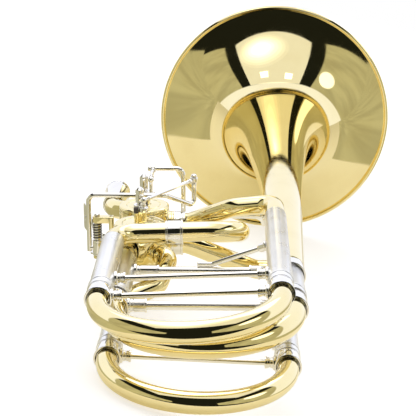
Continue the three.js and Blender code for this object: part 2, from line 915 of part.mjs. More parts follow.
const branches = {
  upper_feed_tube: {
    corners: [
      portMouth('far', 'feed'),
      portMouth('far', 'feed', feedLead),
      place(-feedRiseAcross, feedRiseBack, feedRiseHeight),
      place(upperRight.x, upperCrookBack, upperRight.z),
      legTop(upperRight, upperRightTop),
    ],
    bends: [gentleBend, wideBend, branchBend],
  },
  upper_return_tube: {
    corners: [
      legTop(upperLeft, upperLeftTop),
      place(upperLeft.x, overLegBack, upperLeft.z),
      place(-returnAcross, overLegBack, overLegHeight),
      place(-returnAcross, farValveBack + portChord, 0),
      portMouth('far', 'back'),
    ],
    bends: [elbowBend, returnBend, returnBend],
  },
  lower_feed_tube: {
    corners: [
      portMouth('near', 'feed'),
      portMouth('near', 'feed', feedLead),
      place(-dropEndAcross, lowerCrookBack, lowerRight.z),
      place(lowerRight.x, lowerCrookBack, lowerRight.z),
      legTop(lowerRight, lowerRightTop),
    ],
    bends: [gentleBend, gentleBend, branchBend],
  },
  lower_return_tube: {
    corners: [
      portMouth('near', 'back'),
      portMouth('near', 'back', crossUnderLead),
      place(crossUnderInset - mainSpacing, crossUnderBack, -crossUnderDepth),
      place(lowerLeft.x, lowerElbowBack, lowerLeft.z),
      legTop(lowerLeft, lowerLeftTop),
    ],
    bends: [tightBend, gentleBend, branchBend],
  },
};

function addBranches(parent) {
  for (const [name, { corners, bends }] of Object.entries(branches)) {
    const body = tube(corners, bends, branchRadius, branchRadius - branchWall);
    add(parent, name, body, lacqueredBrass);
  }
}

// A ferrule round a straight run, a given way past its start
function ferruleOn(start, end, offset, length) {
  const heading = end.clone().sub(start).normalize();
  const lay = new THREE.Quaternion().setFromUnitVectors(endwise, heading);
  const band = ferruleRing(branchRadius + ferruleGap, length).applyQuaternion(lay);
  return moved(band, start.clone().addScaledVector(heading, offset + length));
}

function addBranchFerrules(parent) {
  const feeds = { upper_feed_ferrule: 'far', lower_feed_ferrule: 'near' };
  for (const [name, valve] of Object.entries(feeds)) {
    const lead = [portMouth(valve, 'feed'), portMouth(valve, 'feed', feedLead)];
    add(parent, name, ferruleOn(...lead, 0, feedFerruleLength), nickelSilver);
  }
  const [, start, end] = branches.upper_return_tube.corners;
  const band = ferruleOn(start, end, returnFerruleOffset, returnFerruleLength);
  add(parent, 'upper_return_ferrule', band, nickelSilver);
}

// Place of the pad of a stop arm at rest, level with the bell axis
function stopPad(name) {
  const { back, stopAngle } = valves[name];
  const turn = degrees(stopAngle);
  return place(-valveAcross + stopArmReach * Math.cos(turn), back - stopArmReach * Math.sin(turn), 0);
}

function raised(position, height) {
  return position.clone().setZ(height);
}

// First lever: barrel and sleeve on the screw, long bent rod to the link, arm to the paddle

const hingeAcross = mainSpacing + hingeOut;
const firstRodAcross = hingeAcross + firstRodOut;
const firstRodTurnAcross = valveAcross - firstRodTurnInset;
const firstEyeAcross = valveAcross - firstEyeInset;
const firstPaddleAcross = hingeAcross + firstPaddleOut;
const firstPaddleKneeAcross = hingeAcross + firstPaddleKneeOut;
const firstHinge = place(-hingeAcross, hingeBack, 0);
const firstEye = place(-firstEyeAcross, firstEyeBack, firstLinkHeight);
const barrelBore = hingeScrewRadius + seatGap;
const armStart = (barrelBore + sleeveRadius) / 2;

// A paddle with its face to -X: plate, slots and screw, before it is turned and placed
function paddle() {
  const plate = block(
    new THREE.Vector3(-paddleThickness / 2, -paddleWidth / 2, -paddleLength / 2),
    new THREE.Vector3(paddleThickness / 2, paddleWidth / 2, paddleLength / 2),
  );
  const slots = [-1, 1].map((side) => block(
    new THREE.Vector3(-paddleThickness, side * paddleSlotOffset - paddleSlotWidth / 2, -paddleSlotLength / 2),
    new THREE.Vector3(paddleThickness, side * paddleSlotOffset + paddleSlotWidth / 2, paddleSlotLength / 2),
  ));
  const screw = plug(paddleScrewRadius, -paddleThickness, paddleArmSetback, crosswise, rodSides);
  return join(cut(plate, ...slots), screw);
}

const paddleArmSetback = paddleThickness / 2 + paddleArmRadius;
const firstPaddlePlace = place(-firstPaddleAcross, firstPaddleBack, firstPaddleHeight);

// A point behind the first paddle, along its width
function behindFirstPaddle(along) {
  const point = new THREE.Vector3(paddleArmSetback, along, 0);
  return point.applyAxisAngle(upright, degrees(firstPaddleTurn)).add(firstPaddlePlace);
}

function firstLever() {
  const barrel = moved(turned([
    [barrelBore, barrelFoot], [sleeveRadius, barrelFoot], [sleeveRadius, sleeveTop],
    [barrelRadius, sleeveTop], [barrelRadius, barrelTop], [barrelBore, barrelTop],
  ], upright, tubeSides), firstHinge);
  const shoulder = firstLinkHeight - eyeThickness / 2 - runningGap;
  const headFoot = firstLinkHeight + eyeThickness / 2 + runningGap;
  const swing = rod([
    place(-firstRodAcross, hingeBack, firstRodFoot),
    place(-firstRodAcross, hingeBack, firstRodHeight),
    place(-firstRodTurnAcross, hingeBack, firstRodHeight),
    place(-firstEyeAcross, firstEyeBack, firstPostFoot),
    raised(firstEye, shoulder),
  ], [rodBend, rodBend, firstPostBend], rodRadius);
  const yoke = rod([
    place(-hingeAcross - armStart, hingeBack, firstArmHeight),
    place(-firstRodAcross, hingeBack, firstArmHeight),
  ], 0, rodRadius);
  const stud = plug(studRadius, shoulder - rodRadius, headFoot + screwHeadLength / 2, upright, rodSides);
  const head = plug(screwHeadRadius, headFoot, headFoot + screwHeadLength, upright, rodSides);
  const arm = rod([
    place(-hingeAcross, hingeBack - armStart, firstArmHeight),
    place(-firstPaddleKneeAcross, firstPaddleKneeBack, firstPaddleKneeHeight),
    behindFirstPaddle(-paddleWidth / 2 - paddleArmOverlap),
    behindFirstPaddle(paddleArmOverlap),
  ], paddleArmBend, paddleArmRadius);
  const plate = moved(paddle().rotateZ(degrees(firstPaddleTurn)), firstPaddlePlace);
  const eyeColumn = raised(firstEye, 0);
  return join(barrel, swing, yoke, arm, plate, moved(stud, eyeColumn), moved(head, eyeColumn));
}

function firstLeverBracket() {
  const upperFoot = barrelTop + runningGap;
  const upperTop = upperFoot + upperLugThickness;
  const lowerTop = barrelFoot - runningGap;
  const lowerFoot = lowerTop - lowerLugThickness;
  const left = -hingeAcross - lugHalfWidth;
  const spineLeft = -hingeAcross + spineOffset;
  const spineRight = spineLeft + spineThickness;
  const rear = hingeBack + lugHalfWidth;
  const front = hingeBack - lugHalfWidth;
  const whole = join(
    block(place(left, rear, upperFoot), place(spineRight, front, upperTop)),
    block(place(left, rear, lowerFoot), place(spineRight, front, lowerTop)),
    block(place(spineLeft, rear, lowerFoot), place(spineRight, front, upperTop)),
    block(place(spineLeft, rear, bracketBarFoot), place(-mainSpacing, front, bracketBarTop)),
  );
  const screwHole = plug(barrelBore, lowerFoot - cutOverrun, upperTop + cutOverrun, upright, tubeSides);
  return cut(
    whole,
    moved(screwHole, firstHinge),
    legCutter(mainLeft, portSleeveRadius + seatGap, hingeBack, lugHalfWidth + cutOverrun),
  );
}

function firstHingeScrew() {
  const foot = barrelFoot - runningGap - lowerLugThickness;
  const headFoot = barrelTop + runningGap + upperLugThickness + seatGap;
  return moved(turned([
    [0, foot], [hingeScrewRadius, foot], [hingeScrewRadius, headFoot], [screwHeadRadius, headFoot],
    [screwHeadRadius, headFoot + screwHeadLength], [0, headFoot + screwHeadLength],
  ], upright, tubeSides), firstHinge);
}

// Coil spring round the barrel: even curls between two level ends that run straight
// for one wire diameter
function springStations(radius, foot, top) {
  const steps = springTurns * curlSteps;
  const climb = (top - foot) / steps;
  const stations = [];
  for (let step = 0; step <= steps; step += 1) {
    const angle = (2 * Math.PI * step) / curlSteps;
    const spoke = new THREE.Vector3(Math.cos(angle), Math.sin(angle), 0);
    const position = spoke.clone().multiplyScalar(radius).setZ(foot + climb * step);
    const tangent = upright.clone().cross(spoke);
    stations.push({ position, tangent });
  }
  const first = stations[0];
  const last = stations[steps];
  const straight = 2 * springWireRadius;
  return [
    { position: first.position.clone().addScaledVector(first.tangent, -straight), tangent: first.tangent },
    ...stations,
    { position: last.position.clone().addScaledVector(last.tangent, straight), tangent: last.tangent },
  ];
}

// Least gap of the wire to itself, between points that lie half a curl or more apart
function leastGap(stations) {
  let least = Infinity;
  for (let first = 0; first < stations.length; first += 1) {
    for (let second = first + curlSteps / 2; second < stations.length; second += 1) {
      const apart = stations[first].position.distanceTo(stations[second].position);
      least = Math.min(least, apart - 2 * springWireRadius);
    }
  }
  return least;
}

function firstLeverSpring() {
  const radius = barrelRadius + seatGap + springWireRadius;
  const foot = sleeveTop + seatGap + springWireRadius;
  const top = barrelTop - springWireRadius;
  const stations = springStations(radius, foot, top);
  console.log(`first_lever_spring least gap to itself ${leastGap(stations).toFixed(2)} mm`);
  const wire = sweep(new StationRoute(stations), new THREE.Shape(circle(springWireRadius, springSides)));
  return moved(wire, firstHinge);
}

// Second lever: level bar with an upright bent rod at the right and a paddle at the left

const secondBarLeft = mainSpacing + secondBarLeftOut;
const secondBarRight = mainSpacing - secondBarRightInset;
const secondPaddleAcross = mainSpacing + secondPaddleOut;
const secondRodAcross = secondBarRight + secondRodInset;
const rightBearingAcross = secondBarRight + rightBearingInset;
const leftBearingAcross = mainSpacing + leftBearingOut;

function secondLever() {
  const eye = raised(stopPad('far'), secondLinkHeight);
  const shoulder = eye.x + eyeThickness / 2 + runningGap;
  const headStart = eye.x - eyeThickness / 2 - runningGap;
  const bar = moved(plug(secondBarRadius, -secondBarLeft, -secondBarRight, crosswise, tubeSides),
    place(0, secondBarBack, -secondBarDepth));
  const riser = rod([
    place(-secondRodAcross, secondBarBack, -secondBarDepth),
    place(-secondRodAcross, secondBarBack, secondLinkHeight),
    place(shoulder, secondBarBack, secondLinkHeight),
  ], rodBend, rodRadius);
  const axle = place(0, secondBarBack, secondLinkHeight);
  const stud = plug(studRadius, headStart - screwHeadLength / 2, shoulder + rodRadius, crosswise, rodSides);
  const head = plug(screwHeadRadius, headStart - screwHeadLength, headStart, crosswise, rodSides);
  const arm = rod([
    place(secondPaddleArmInset - secondBarLeft, secondBarBack, -secondBarDepth),
    place(secondPaddleArmInset - secondBarLeft, secondPaddleKneeBack, -secondBarDepth),
    place(-secondPaddleAcross, secondPaddleBack + paddleArmOverlap, -secondPaddleDepth + paddleArmSetback),
  ], paddleArmBend, paddleArmRadius);
  const plate = paddle().rotateX(Math.PI / 2).rotateY(-Math.PI / 2);
  return join(
    bar, riser, arm, moved(stud, axle), moved(head, axle),
    moved(plate, place(-secondPaddleAcross, secondPaddleBack, -secondPaddleDepth)),
  );
}

// A bearing ring on the bar, with a strap to what it is soldered to
function barBearing(across, strapTo, ...cutters) {
  const centre = place(-across, secondBarBack, -secondBarDepth);
  const bore = secondBarRadius + runningGap;
  const half = bearingWidth / 2;
  const collar = moved(plug(bore + bearingWall, -half, half, crosswise), centre);
  const strap = rod([centre, strapTo], 0, bearingStrapRadius);
  const through = moved(plug(bore, -bearingWidth, bearingWidth, crosswise), centre);
  return cut(join(collar, strap), through, ...cutters);
}

function addSecondLeverBearings(parent) {
  const bellBracePlace = place(-rightBearingAcross, bellBraceBack, 0);
  const braceCutter = plug(bellBraceRadius + seatGap, -bearingWidth, bearingWidth, crosswise);
  add(parent, 'second_lever_bearing_right',
    barBearing(rightBearingAcross, bellBracePlace, moved(braceCutter, bellBracePlace)), nickelSilver);
  const ferruleRadius = lineRadius + ferruleGap + ferruleWall + ferruleBead;
  const cutReach = bearingWidth + cutOverrun;
  const ferruleCutter = legCutter(mainLeft, ferruleRadius + seatGap, secondBarBack, cutReach);
  add(parent, 'second_lever_bearing_left',
    barBearing(leftBearingAcross, place(-mainSpacing, secondBarBack, 0), ferruleCutter), nickelSilver);
}

// A link: an eye on the lever's stud, a rod, and a ball with a stud above the stop arm
function link(eye, ball, eyeAxis, footHeight) {
  const inner = studRadius + seatGap;
  const outer = inner + eyeWall;
  const heading = ball.clone().sub(eye).normalize();
  const half = eyeThickness / 2;
  const eyeRing = moved(ring(inner, outer, -half, half, eyeAxis, tubeSides), eye);
  const bar = rod([eye.clone().addScaledVector(heading, (inner + outer) / 2), ball], 0, linkRadius);
  const knob = moved(new THREE.SphereGeometry(ballRadius, rodSides, rodSides), ball);
  const stud = moved(plug(studRadius, footHeight, ball.z, upright, rodSides), raised(ball, 0));
  return join(eyeRing, bar, knob, stud);
}

function addLevers(parent) {
  add(parent, 'first_lever', firstLever(), nickelSilver);
  add(parent, 'first_lever_bracket', firstLeverBracket(), lacqueredBrass);
  add(parent, 'first_hinge_screw', firstHingeScrew(), nickelSilver);
  add(parent, 'first_lever_spring', firstLeverSpring(), springSteel);
  add(parent, 'second_lever', secondLever(), nickelSilver);
  addSecondLeverBearings(parent);
  const nearBall = raised(stopPad('near'), firstLinkHeight);
  add(parent, 'first_link',
    link(firstEye, nearBall, upright, stopArmTop(valves.near) + seatGap), nickelSilver);
  const farBall = raised(stopPad('far'), secondLinkHeight);
  const secondEye = place(farBall.x, secondBarBack, secondLinkHeight);
  add(parent, 'second_link',
    link(secondEye, farBall, crosswise, stopArmTop(valves.far) + seatGap), nickelSilver);
}

// Assembly

const instrument = new THREE.Group();
addBell(instrument);
addOuterTubes(instrument);
addMainSlide(instrument);
addAttachmentSlide(instrument, 'upper_slide', upperLeft, upperRight);
addAttachmentSlide(instrument, 'lower_slide', lowerLeft, lowerRight);
addValve(instrument, 'far');
addValve(instrument, 'near');
addLine(instrument);
addBraces(instrument);
addBranches(instrument);
addBranchFerrules(instrument);
addLevers(instrument);

instrument.rotation.set(degrees(restTilt), degrees(restRoll), 0);

const bassTrombone = new THREE.Group();
bassTrombone.add(instrument);

// The origin is the middle of the footprint, at the lowest point
const bounds = new THREE.Box3().setFromObject(instrument, true);
const middle = bounds.getCenter(new THREE.Vector3());
instrument.position.set(-middle.x, -middle.y, -bounds.min.z);

export default bassTrombone;
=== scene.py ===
# Bell section of a bass trombone with two rotary valves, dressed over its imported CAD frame.
# Places and sizes are millimetres in the instrument's own frame until a piece is finished:
# the bell axis is Y, the bell mouth faces +Y and the origin is the centre of the bell rim.

import math

import bmesh
import bpy
from mathutils import Matrix, Vector


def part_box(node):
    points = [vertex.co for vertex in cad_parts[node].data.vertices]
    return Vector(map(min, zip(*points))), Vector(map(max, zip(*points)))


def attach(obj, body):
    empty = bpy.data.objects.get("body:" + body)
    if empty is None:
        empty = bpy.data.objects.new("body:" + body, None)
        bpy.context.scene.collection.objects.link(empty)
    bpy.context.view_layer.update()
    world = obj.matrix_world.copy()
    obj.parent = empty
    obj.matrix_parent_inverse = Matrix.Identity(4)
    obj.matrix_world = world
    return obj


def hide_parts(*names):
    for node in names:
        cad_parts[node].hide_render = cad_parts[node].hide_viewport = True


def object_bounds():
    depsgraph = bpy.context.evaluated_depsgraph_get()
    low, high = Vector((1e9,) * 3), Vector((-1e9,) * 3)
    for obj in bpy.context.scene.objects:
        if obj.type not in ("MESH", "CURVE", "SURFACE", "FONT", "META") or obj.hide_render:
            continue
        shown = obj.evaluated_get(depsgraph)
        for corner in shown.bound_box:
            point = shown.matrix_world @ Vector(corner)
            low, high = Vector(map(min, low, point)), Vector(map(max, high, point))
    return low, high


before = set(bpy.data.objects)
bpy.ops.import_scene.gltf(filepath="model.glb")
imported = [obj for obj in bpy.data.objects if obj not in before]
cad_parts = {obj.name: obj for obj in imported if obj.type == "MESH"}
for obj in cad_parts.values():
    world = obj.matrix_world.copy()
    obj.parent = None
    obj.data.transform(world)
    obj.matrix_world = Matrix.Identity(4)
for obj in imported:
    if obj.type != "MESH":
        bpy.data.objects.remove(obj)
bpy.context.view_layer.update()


def place(right, back, above):
    """A point given to the right, behind the bell rim and above the bell axis."""
    return Vector((right, -back, above))


def at_height(point, height):
    """The point moved to a height over the bell axis."""
    return Vector((point.x, point.y, height))


def leg(right_above, back):
    """A point on a leg of a slide, given behind the bell rim."""
    return place(right_above[0], back, right_above[1])


# Legs of the slides, as right and above; the valves' line runs on the main slide's left leg

MAIN_RIGHT = (0, 0)
MAIN_LEFT = (-124, 0)
UPPER_RIGHT = (-9.5, 26.1)
UPPER_LEFT = (-130.2, 21)
LOWER_RIGHT = (-4.2, -26.1)
LOWER_LEFT = (-125, -21)

# Places along the legs, behind the bell rim

VALVE_BACK = {"far": 371, "near": 418}
TAIL_BACK = 466
MAIN_LEFT_TOP = 450
UPPER_LEFT_TOP = 466
LOWER_LEFT_TOP = 492
RIGHT_TOP = 419
MAIN_OUTER_END = 528
ATTACHMENT_OUTER_END = 569

# From the instrument's own frame to the frame of the CAD row

METRES = 0.001
TILT = math.radians(6.48)
ROLL = math.radians(-10.9)
LINK_TUBE_CENTRE = leg(MAIN_LEFT, (VALVE_BACK["far"] + VALVE_BACK["near"]) / 2)

turn = Matrix.Rotation(TILT, 4, "X") @ Matrix.Rotation(ROLL, 4, "Y")
turn_axes = turn.to_3x3()
low, high = (Vector(corner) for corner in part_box("valve_link_tube"))
shift = (low + high) / 2 - METRES * (turn @ LINK_TUBE_CENTRE)
TO_ROW = Matrix.Translation(shift) @ turn @ Matrix.Scale(METRES, 4)

# Tube radii

MAIN_BOW = 9.15
BOW_INSET = 0.25
MAIN_BORE = 8.45
MAIN_OUTER = 10.1
MAIN_OUTER_BORE = 9.5
SLIDE_TUBE = 7.5
SLIDE_TUBE_BORE = 6.9
SLIDE_OUTER = 8.4
SLIDE_OUTER_BORE = 7.85
BRANCH = 7.55
BRANCH_BORE = 6.85
LINE = 8
LINE_BORE = 7.2
PORT_SLEEVE = 9.1
FERRULE_GAP = 0.45
FERRULE_WALL = 0.8
SEAT = 0.3

# Sides of round pieces, and how meshes are rounded and joined

TUBE_SIDES = 56
ROD_SIDES = 28
HUB_SIDES = 40
CASING_SIDES = 72
CAP_SIDES = 96
WIRE_SIDES = 12
BELL_SIDES = 180
BALL_STEPS = 14
BEND_STEP = math.radians(4)
POLE = 1e-4
WELD = 0.002
SHARP = math.radians(38)
CORNER_SHARE = 0.45
MITRE_SHARE = 0.3
FINE_EDGE = 0.2
TURNED_EDGE = 0.25
SOFT_EDGE = 0.3
ROUND_EDGE = 0.4
BAR_EDGE = 0.5

X_AXIS = Vector((1, 0, 0))
Y_AXIS = Vector((0, 1, 0))
Z_AXIS = Vector((0, 0, 1))


# Routes and skins


def square_to(heading):
    """A direction at right angles to a heading."""
    least = min((X_AXIS, Y_AXIS, Z_AXIS), key=lambda axis: abs(axis.dot(heading)))
    return heading.cross(least).normalized()


class Route:
    """Straight runs joined by round bends, with a frame that follows without twist."""

    def __init__(self, corners, bends=()):
        self.runs = []
        self.length = 0.0
        heading = (corners[1] - corners[0]).normalized()
        side = square_to(heading)
        start = corners[0]
        for corner, after, radius in zip(corners[1:], corners[2:], bends):
            leaving = (after - corner).normalized()
            angle = heading.angle(leaving)
            inset = radius * math.tan(angle / 2)
            bend_start = corner - heading * inset
            self.add_run(start, heading, side, (bend_start - start).length)
            axis = heading.cross(leaving).normalized()
            self.add_run(bend_start, heading, side, radius * angle, axis, radius)
            side = Matrix.Rotation(angle, 3, axis) @ side
            heading = leaving
            start = corner + leaving * inset
        self.add_run(start, heading, side, (corners[-1] - start).length)

    def add_run(self, start, heading, side, length, axis=None, radius=0):
        self.runs.append((self.length, start, heading, side, length, axis, radius))
        self.length += length

    def at(self, along):
        """Centre, side and up of the section at a distance along the route."""
        begin, start, heading, side, _, axis, radius = next(
            (run for run in self.runs if along <= run[0] + run[4]), self.runs[-1]
        )
        local = along - begin
        if axis is None:
            return start + heading * local, side, heading.cross(side)
        spin = Matrix.Rotation(local / radius, 3, axis)
        inward = axis.cross(heading) * radius
        centre = start + inward - spin @ inward
        return centre, spin @ side, (spin @ heading).cross(spin @ side)

    def stations(self, begin, end):
        """Distances between begin and end where a bend needs a ring."""
        found = []
        for run_begin, _, _, _, length, axis, radius in self.runs:
            if axis is None or length <= 0:
                continue
            steps = max(1, math.ceil(length / radius / BEND_STEP))
            found += [run_begin + length * step / steps for step in range(steps + 1)]
        return between(found, begin, end)


def straight(start, end):
    return Route([start, end])


def between(distances, begin, end):
    """The distances that lie inside a stretch, in the order in which it is walked."""
    low, high = min(begin, end), max(begin, end)
    inside = [along for along in distances if low + POLE < along < high - POLE]
    return inside if begin < end else inside[::-1]


def bored(outside, bore):
    """The outside of a section, led to the bore at both ends; a bore of zero is the axis."""
    return [(outside[0][0], bore), *outside, (outside[-1][0], bore)]


def groove(begin, end, radius, depth):
    """Points of a square groove in a turned piece; a negative depth gives a raised ring."""
    return [(begin, radius), (begin, radius - depth), (end, radius - depth), (end, radius)]


def rounded(outline, radius, closed=True, steps=3):
    """The outline with its corners rounded; the ends of an open one stay as they are."""
    count = len(outline)
    result = []
    for index, corner in enumerate(outline):
        if not closed and index in (0, count - 1):
            result.append(corner)
            continue
        point = Vector(corner)
        before, after = Vector(outline[index - 1]), Vector(outline[(index + 1) % count])
        sides = (before - point).length, (after - point).length
        inset = min(radius, CORNER_SHARE * min(sides))
        first = point + (before - point).normalized() * inset
        last = point + (after - point).normalized() * inset
        for step in range(steps + 1):
            share = step / steps
            mixed = first.lerp(point, share).lerp(point.lerp(last, share), share)
            result.append((mixed.x, mixed.y))
    return result


class Form:
    """The skins that make up one piece."""

    def __init__(self):
        self.mesh = bmesh.new()

    def skin(self, route, outline, sides=TUBE_SIDES, closed=True):
        """Rings of an outline of distance and radius pairs; a radius of zero is a pole."""
        outline = self.followed(route, outline, closed)
        rings = []
        for along, radius in outline:
            centre, side, up = route.at(along)
            if radius < POLE:
                rings.append([self.mesh.verts.new(centre)])
                continue
            ring = []
            for step in range(sides):
                angle = 2 * math.pi * step / sides
                spoke = side * math.cos(angle) + up * math.sin(angle)
                ring.append(self.mesh.verts.new(centre + spoke * radius))
            rings.append(ring)
        pairs = list(zip(rings, rings[1:])) + ([(rings[-1], rings[0])] if closed else [])
        for first, second in pairs:
            self.bridge(first, second, sides)
        return self

    def bridge(self, first, second, sides):
        for step in range(sides):
            after = (step + 1) % sides
            if len(first) == 1:
                self.mesh.faces.new((first[0], second[after], second[step]))
            elif len(second) == 1:
                self.mesh.faces.new((first[step], first[after], second[0]))
            else:
                self.mesh.faces.new((first[step], first[after], second[after], second[step]))

    @staticmethod
    def followed(route, outline, closed):
        """The outline with a point wherever the route bends."""
        result = []
        last = len(outline) if closed else len(outline) - 1
        for index, (along, radius) in enumerate(outline):
            result.append((along, radius))
            if index < last:
                next_along, next_radius = outline[(index + 1) % len(outline)]
                for stop in route.stations(along, next_along):
                    share = (stop - along) / (next_along - along)
                    result.append((stop, radius + (next_radius - radius) * share))
        return result

    def pipe(self, route, radius, bore):
        outline = bored([(0, radius), (route.length, radius)], bore)
        return self.skin(route, rounded(outline, FINE_EDGE))

    def bar(self, route, radius, end=None, edge=BAR_EDGE, sides=ROD_SIDES):
        outline = bored([(0, radius), (end or route.length, radius)], 0)
        return self.skin(route, rounded(outline, edge, closed=False), sides, closed=False)

    def turned(self, centre, heading, outside, bore=0, edge=TURNED_EDGE, sides=TUBE_SIDES):
        """A turned piece, given by the outside of its section and the radius of its bore."""
        route = straight(centre, centre + heading.normalized())
        outline = rounded(bored(outside, bore), edge, bore > 0)
        return self.skin(route, outline, sides, bore > 0)

    def ball(self, centre, radius):
        angles = [math.pi * step / BALL_STEPS for step in range(BALL_STEPS + 1)]
        outline = [(-radius * math.cos(angle), radius * math.sin(angle)) for angle in angles]
        outline[0], outline[-1] = (-radius, 0), (radius, 0)
        return self.skin(straight(centre, centre + Z_AXIS), outline, ROD_SIDES, closed=False)

    def plate(self, centre, across, along, corners, thickness, edge=SOFT_EDGE, holes=()):
        """A flat plate: its outline and holes lie in the across and along directions."""
        curve = bpy.data.curves.new("plate", "CURVE")
        curve.dimensions = "2D"
        curve.fill_mode = "BOTH"
        curve.extrude = thickness / 2 - edge
        curve.bevel_depth = edge
        curve.bevel_resolution = 2
        for loop, offset in [(corners, -edge)] + [(hole, edge) for hole in holes]:
            spline = curve.splines.new("POLY")
            spline.points.add(len(loop) - 1)
            for point, (right, up) in zip(spline.points, inset(loop, offset)):
                point.co = (right, up, 0, 1)
            spline.use_cyclic_u = True
        holder = bpy.data.objects.new("plate", curve)
        mesh = bpy.data.meshes.new_from_object(holder)
        across, along = across.normalized(), along.normalized()
        lay = Matrix((across, along, across.cross(along))).transposed().to_4x4()
        mesh.transform(Matrix.Translation(centre) @ lay)
        self.mesh.from_mesh(mesh)
        bpy.data.objects.remove(holder)
        bpy.data.curves.remove(curve)
        bpy.data.meshes.remove(mesh)
        return self

    def finish(self, name, material, nodes=(), body="bell_section"):
        """The piece as an object that rides its body and stands for its CAD nodes."""
        bmesh.ops.remove_doubles(self.mesh, verts=self.mesh.verts[:], dist=WELD)
        bmesh.ops.recalc_face_normals(self.mesh, faces=self.mesh.faces[:])
        for face in self.mesh.faces:
            face.smooth = True
        for edge in self.mesh.edges:
            edge.smooth = len(edge.link_faces) != 2 or edge.calc_face_angle() < SHARP
        self.mesh.transform(TO_ROW)
        mesh = bpy.data.meshes.new(name)
        self.mesh.to_mesh(mesh)
        self.mesh.free()
        mesh.materials.append(material)
        piece = bpy.data.objects.new(name, mesh)
        bpy.context.scene.collection.objects.link(piece)
        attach(piece, body)
        if nodes:
            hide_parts(*nodes)
        return piece


def inset(loop, offset):
    """The loop with its corners moved outward by an offset, or inward by a negative one."""
    count = len(loop)
    area = sum(
        loop[k][0] * loop[(k + 1) % count][1] - loop[(k + 1) % count][0] * loop[k][1]
        for k in range(count)
    )
    hand = 1 if area > 0 else -1
    moved = []
    for k in range(count):
        point = Vector(loop[k])
        ahead = (Vector(loop[(k + 1) % count]) - point).normalized()
        behind = (point - Vector(loop[k - 1])).normalized()
        outward = (Vector((ahead.y, -ahead.x)) + Vector((behind.y, -behind.x))) * hand
        reach = offset / max(MITRE_SHARE, outward.length / 2)
        moved.append(tuple(point + outward.normalized() * reach))
    return moved


def round_ended(length, width, steps=10):
    """Corners of a slot or strap with round ends, its length along the second direction."""
    radius = width / 2
    middle = length / 2 - radius
    corners = []
    for sign in (1, -1):
        for step in range(steps + 1):
            angle = math.pi * step / steps
            corners.append((
                sign * radius * math.cos(angle),
                sign * (middle + radius * math.sin(angle)),
            ))
    return corners


def round_cornered(length, width, radius, steps=6):
    corners = []
    for quarter in range(4):
        right = 1 if quarter in (0, 3) else -1
        up = 1 if quarter in (0, 1) else -1
        for step in range(steps + 1):
            angle = math.pi / 2 * (quarter + step / steps)
            corners.append((
                right * (width / 2 - radius) + radius * math.cos(angle),
                up * (length / 2 - radius) + radius * math.sin(angle),
            ))
    return corners


# Materials


class Nodes:
    """Short ways to add shader nodes and to join them."""

    def __init__(self, tree):
        self.tree = tree
        tree.nodes.clear()

    def add(self, kind, **settings):
        node = self.tree.nodes.new(kind)
        for name, value in settings.items():
            setattr(node, name, value)
        return node

    def feed(self, socket, value):
        if isinstance(value, bpy.types.NodeSocket):
            self.tree.links.new(value, socket)
        else:
            socket.default_value = value

    def math(self, operation, *values):
        node = self.add("ShaderNodeMath", operation=operation)
        for socket, value in zip(node.inputs, values):
            self.feed(socket, value)
        return node.outputs[0]

    def times(self, first, second):
        return self.math("MULTIPLY", first, second)

    def minus(self, first, second):
        return self.math("SUBTRACT", first, second)

    def ramp(self, value, low, high, from_value=0.0, to_value=1.0):
        node = self.add("ShaderNodeMapRange", interpolation_type="SMOOTHSTEP")
        for socket, given in zip(node.inputs, (value, low, high, from_value, to_value)):
            self.feed(socket, given)
        return node.outputs[0]

    def past(self, value, edge, softness):
        """One past an edge and zero before it; a negative softness turns it round."""
        return self.ramp(value, edge - softness, edge + softness)

    def mix(self, share, first, second):
        node = self.add("ShaderNodeMix", data_type="RGBA")
        self.feed(node.inputs[0], share)
        self.feed(node.inputs[6], first)
        self.feed(node.inputs[7], second)
        return node.outputs[2]

    def noise(self, vector, scale, detail=3.0):
        node = self.add("ShaderNodeTexNoise")
        self.feed(node.inputs["Vector"], vector)
        self.feed(node.inputs["Scale"], scale)
        self.feed(node.inputs["Detail"], detail)
        return node.outputs["Fac"]

    def bump(self, height, strength, distance):
        node = self.add("ShaderNodeBump")
        self.feed(node.inputs["Strength"], strength)
        self.feed(node.inputs["Distance"], distance)
        self.feed(node.inputs["Height"], height)
        return node.outputs[0]

    def show(self, kind, shader):
        self.feed(self.add(kind).inputs["Surface"], shader)


HAIRLINE_STRETCH = (900.0, 60.0, 900.0)
CLOUD_RANGE = (0.35, 0.75)
POLISH_RANGE = (0.3, 0.75)
SPECKLE_RANGE = (0.2, 0.8)
SPECKLE_POLISH = 0.1
COAT_ROUGHNESS = 0.04


def new_material(name, slot=None):
    material = bpy.data.materials.new(name + "_finish")
    material.use_nodes = True
    material["slot"] = slot or name
    return material, Nodes(material.node_tree)


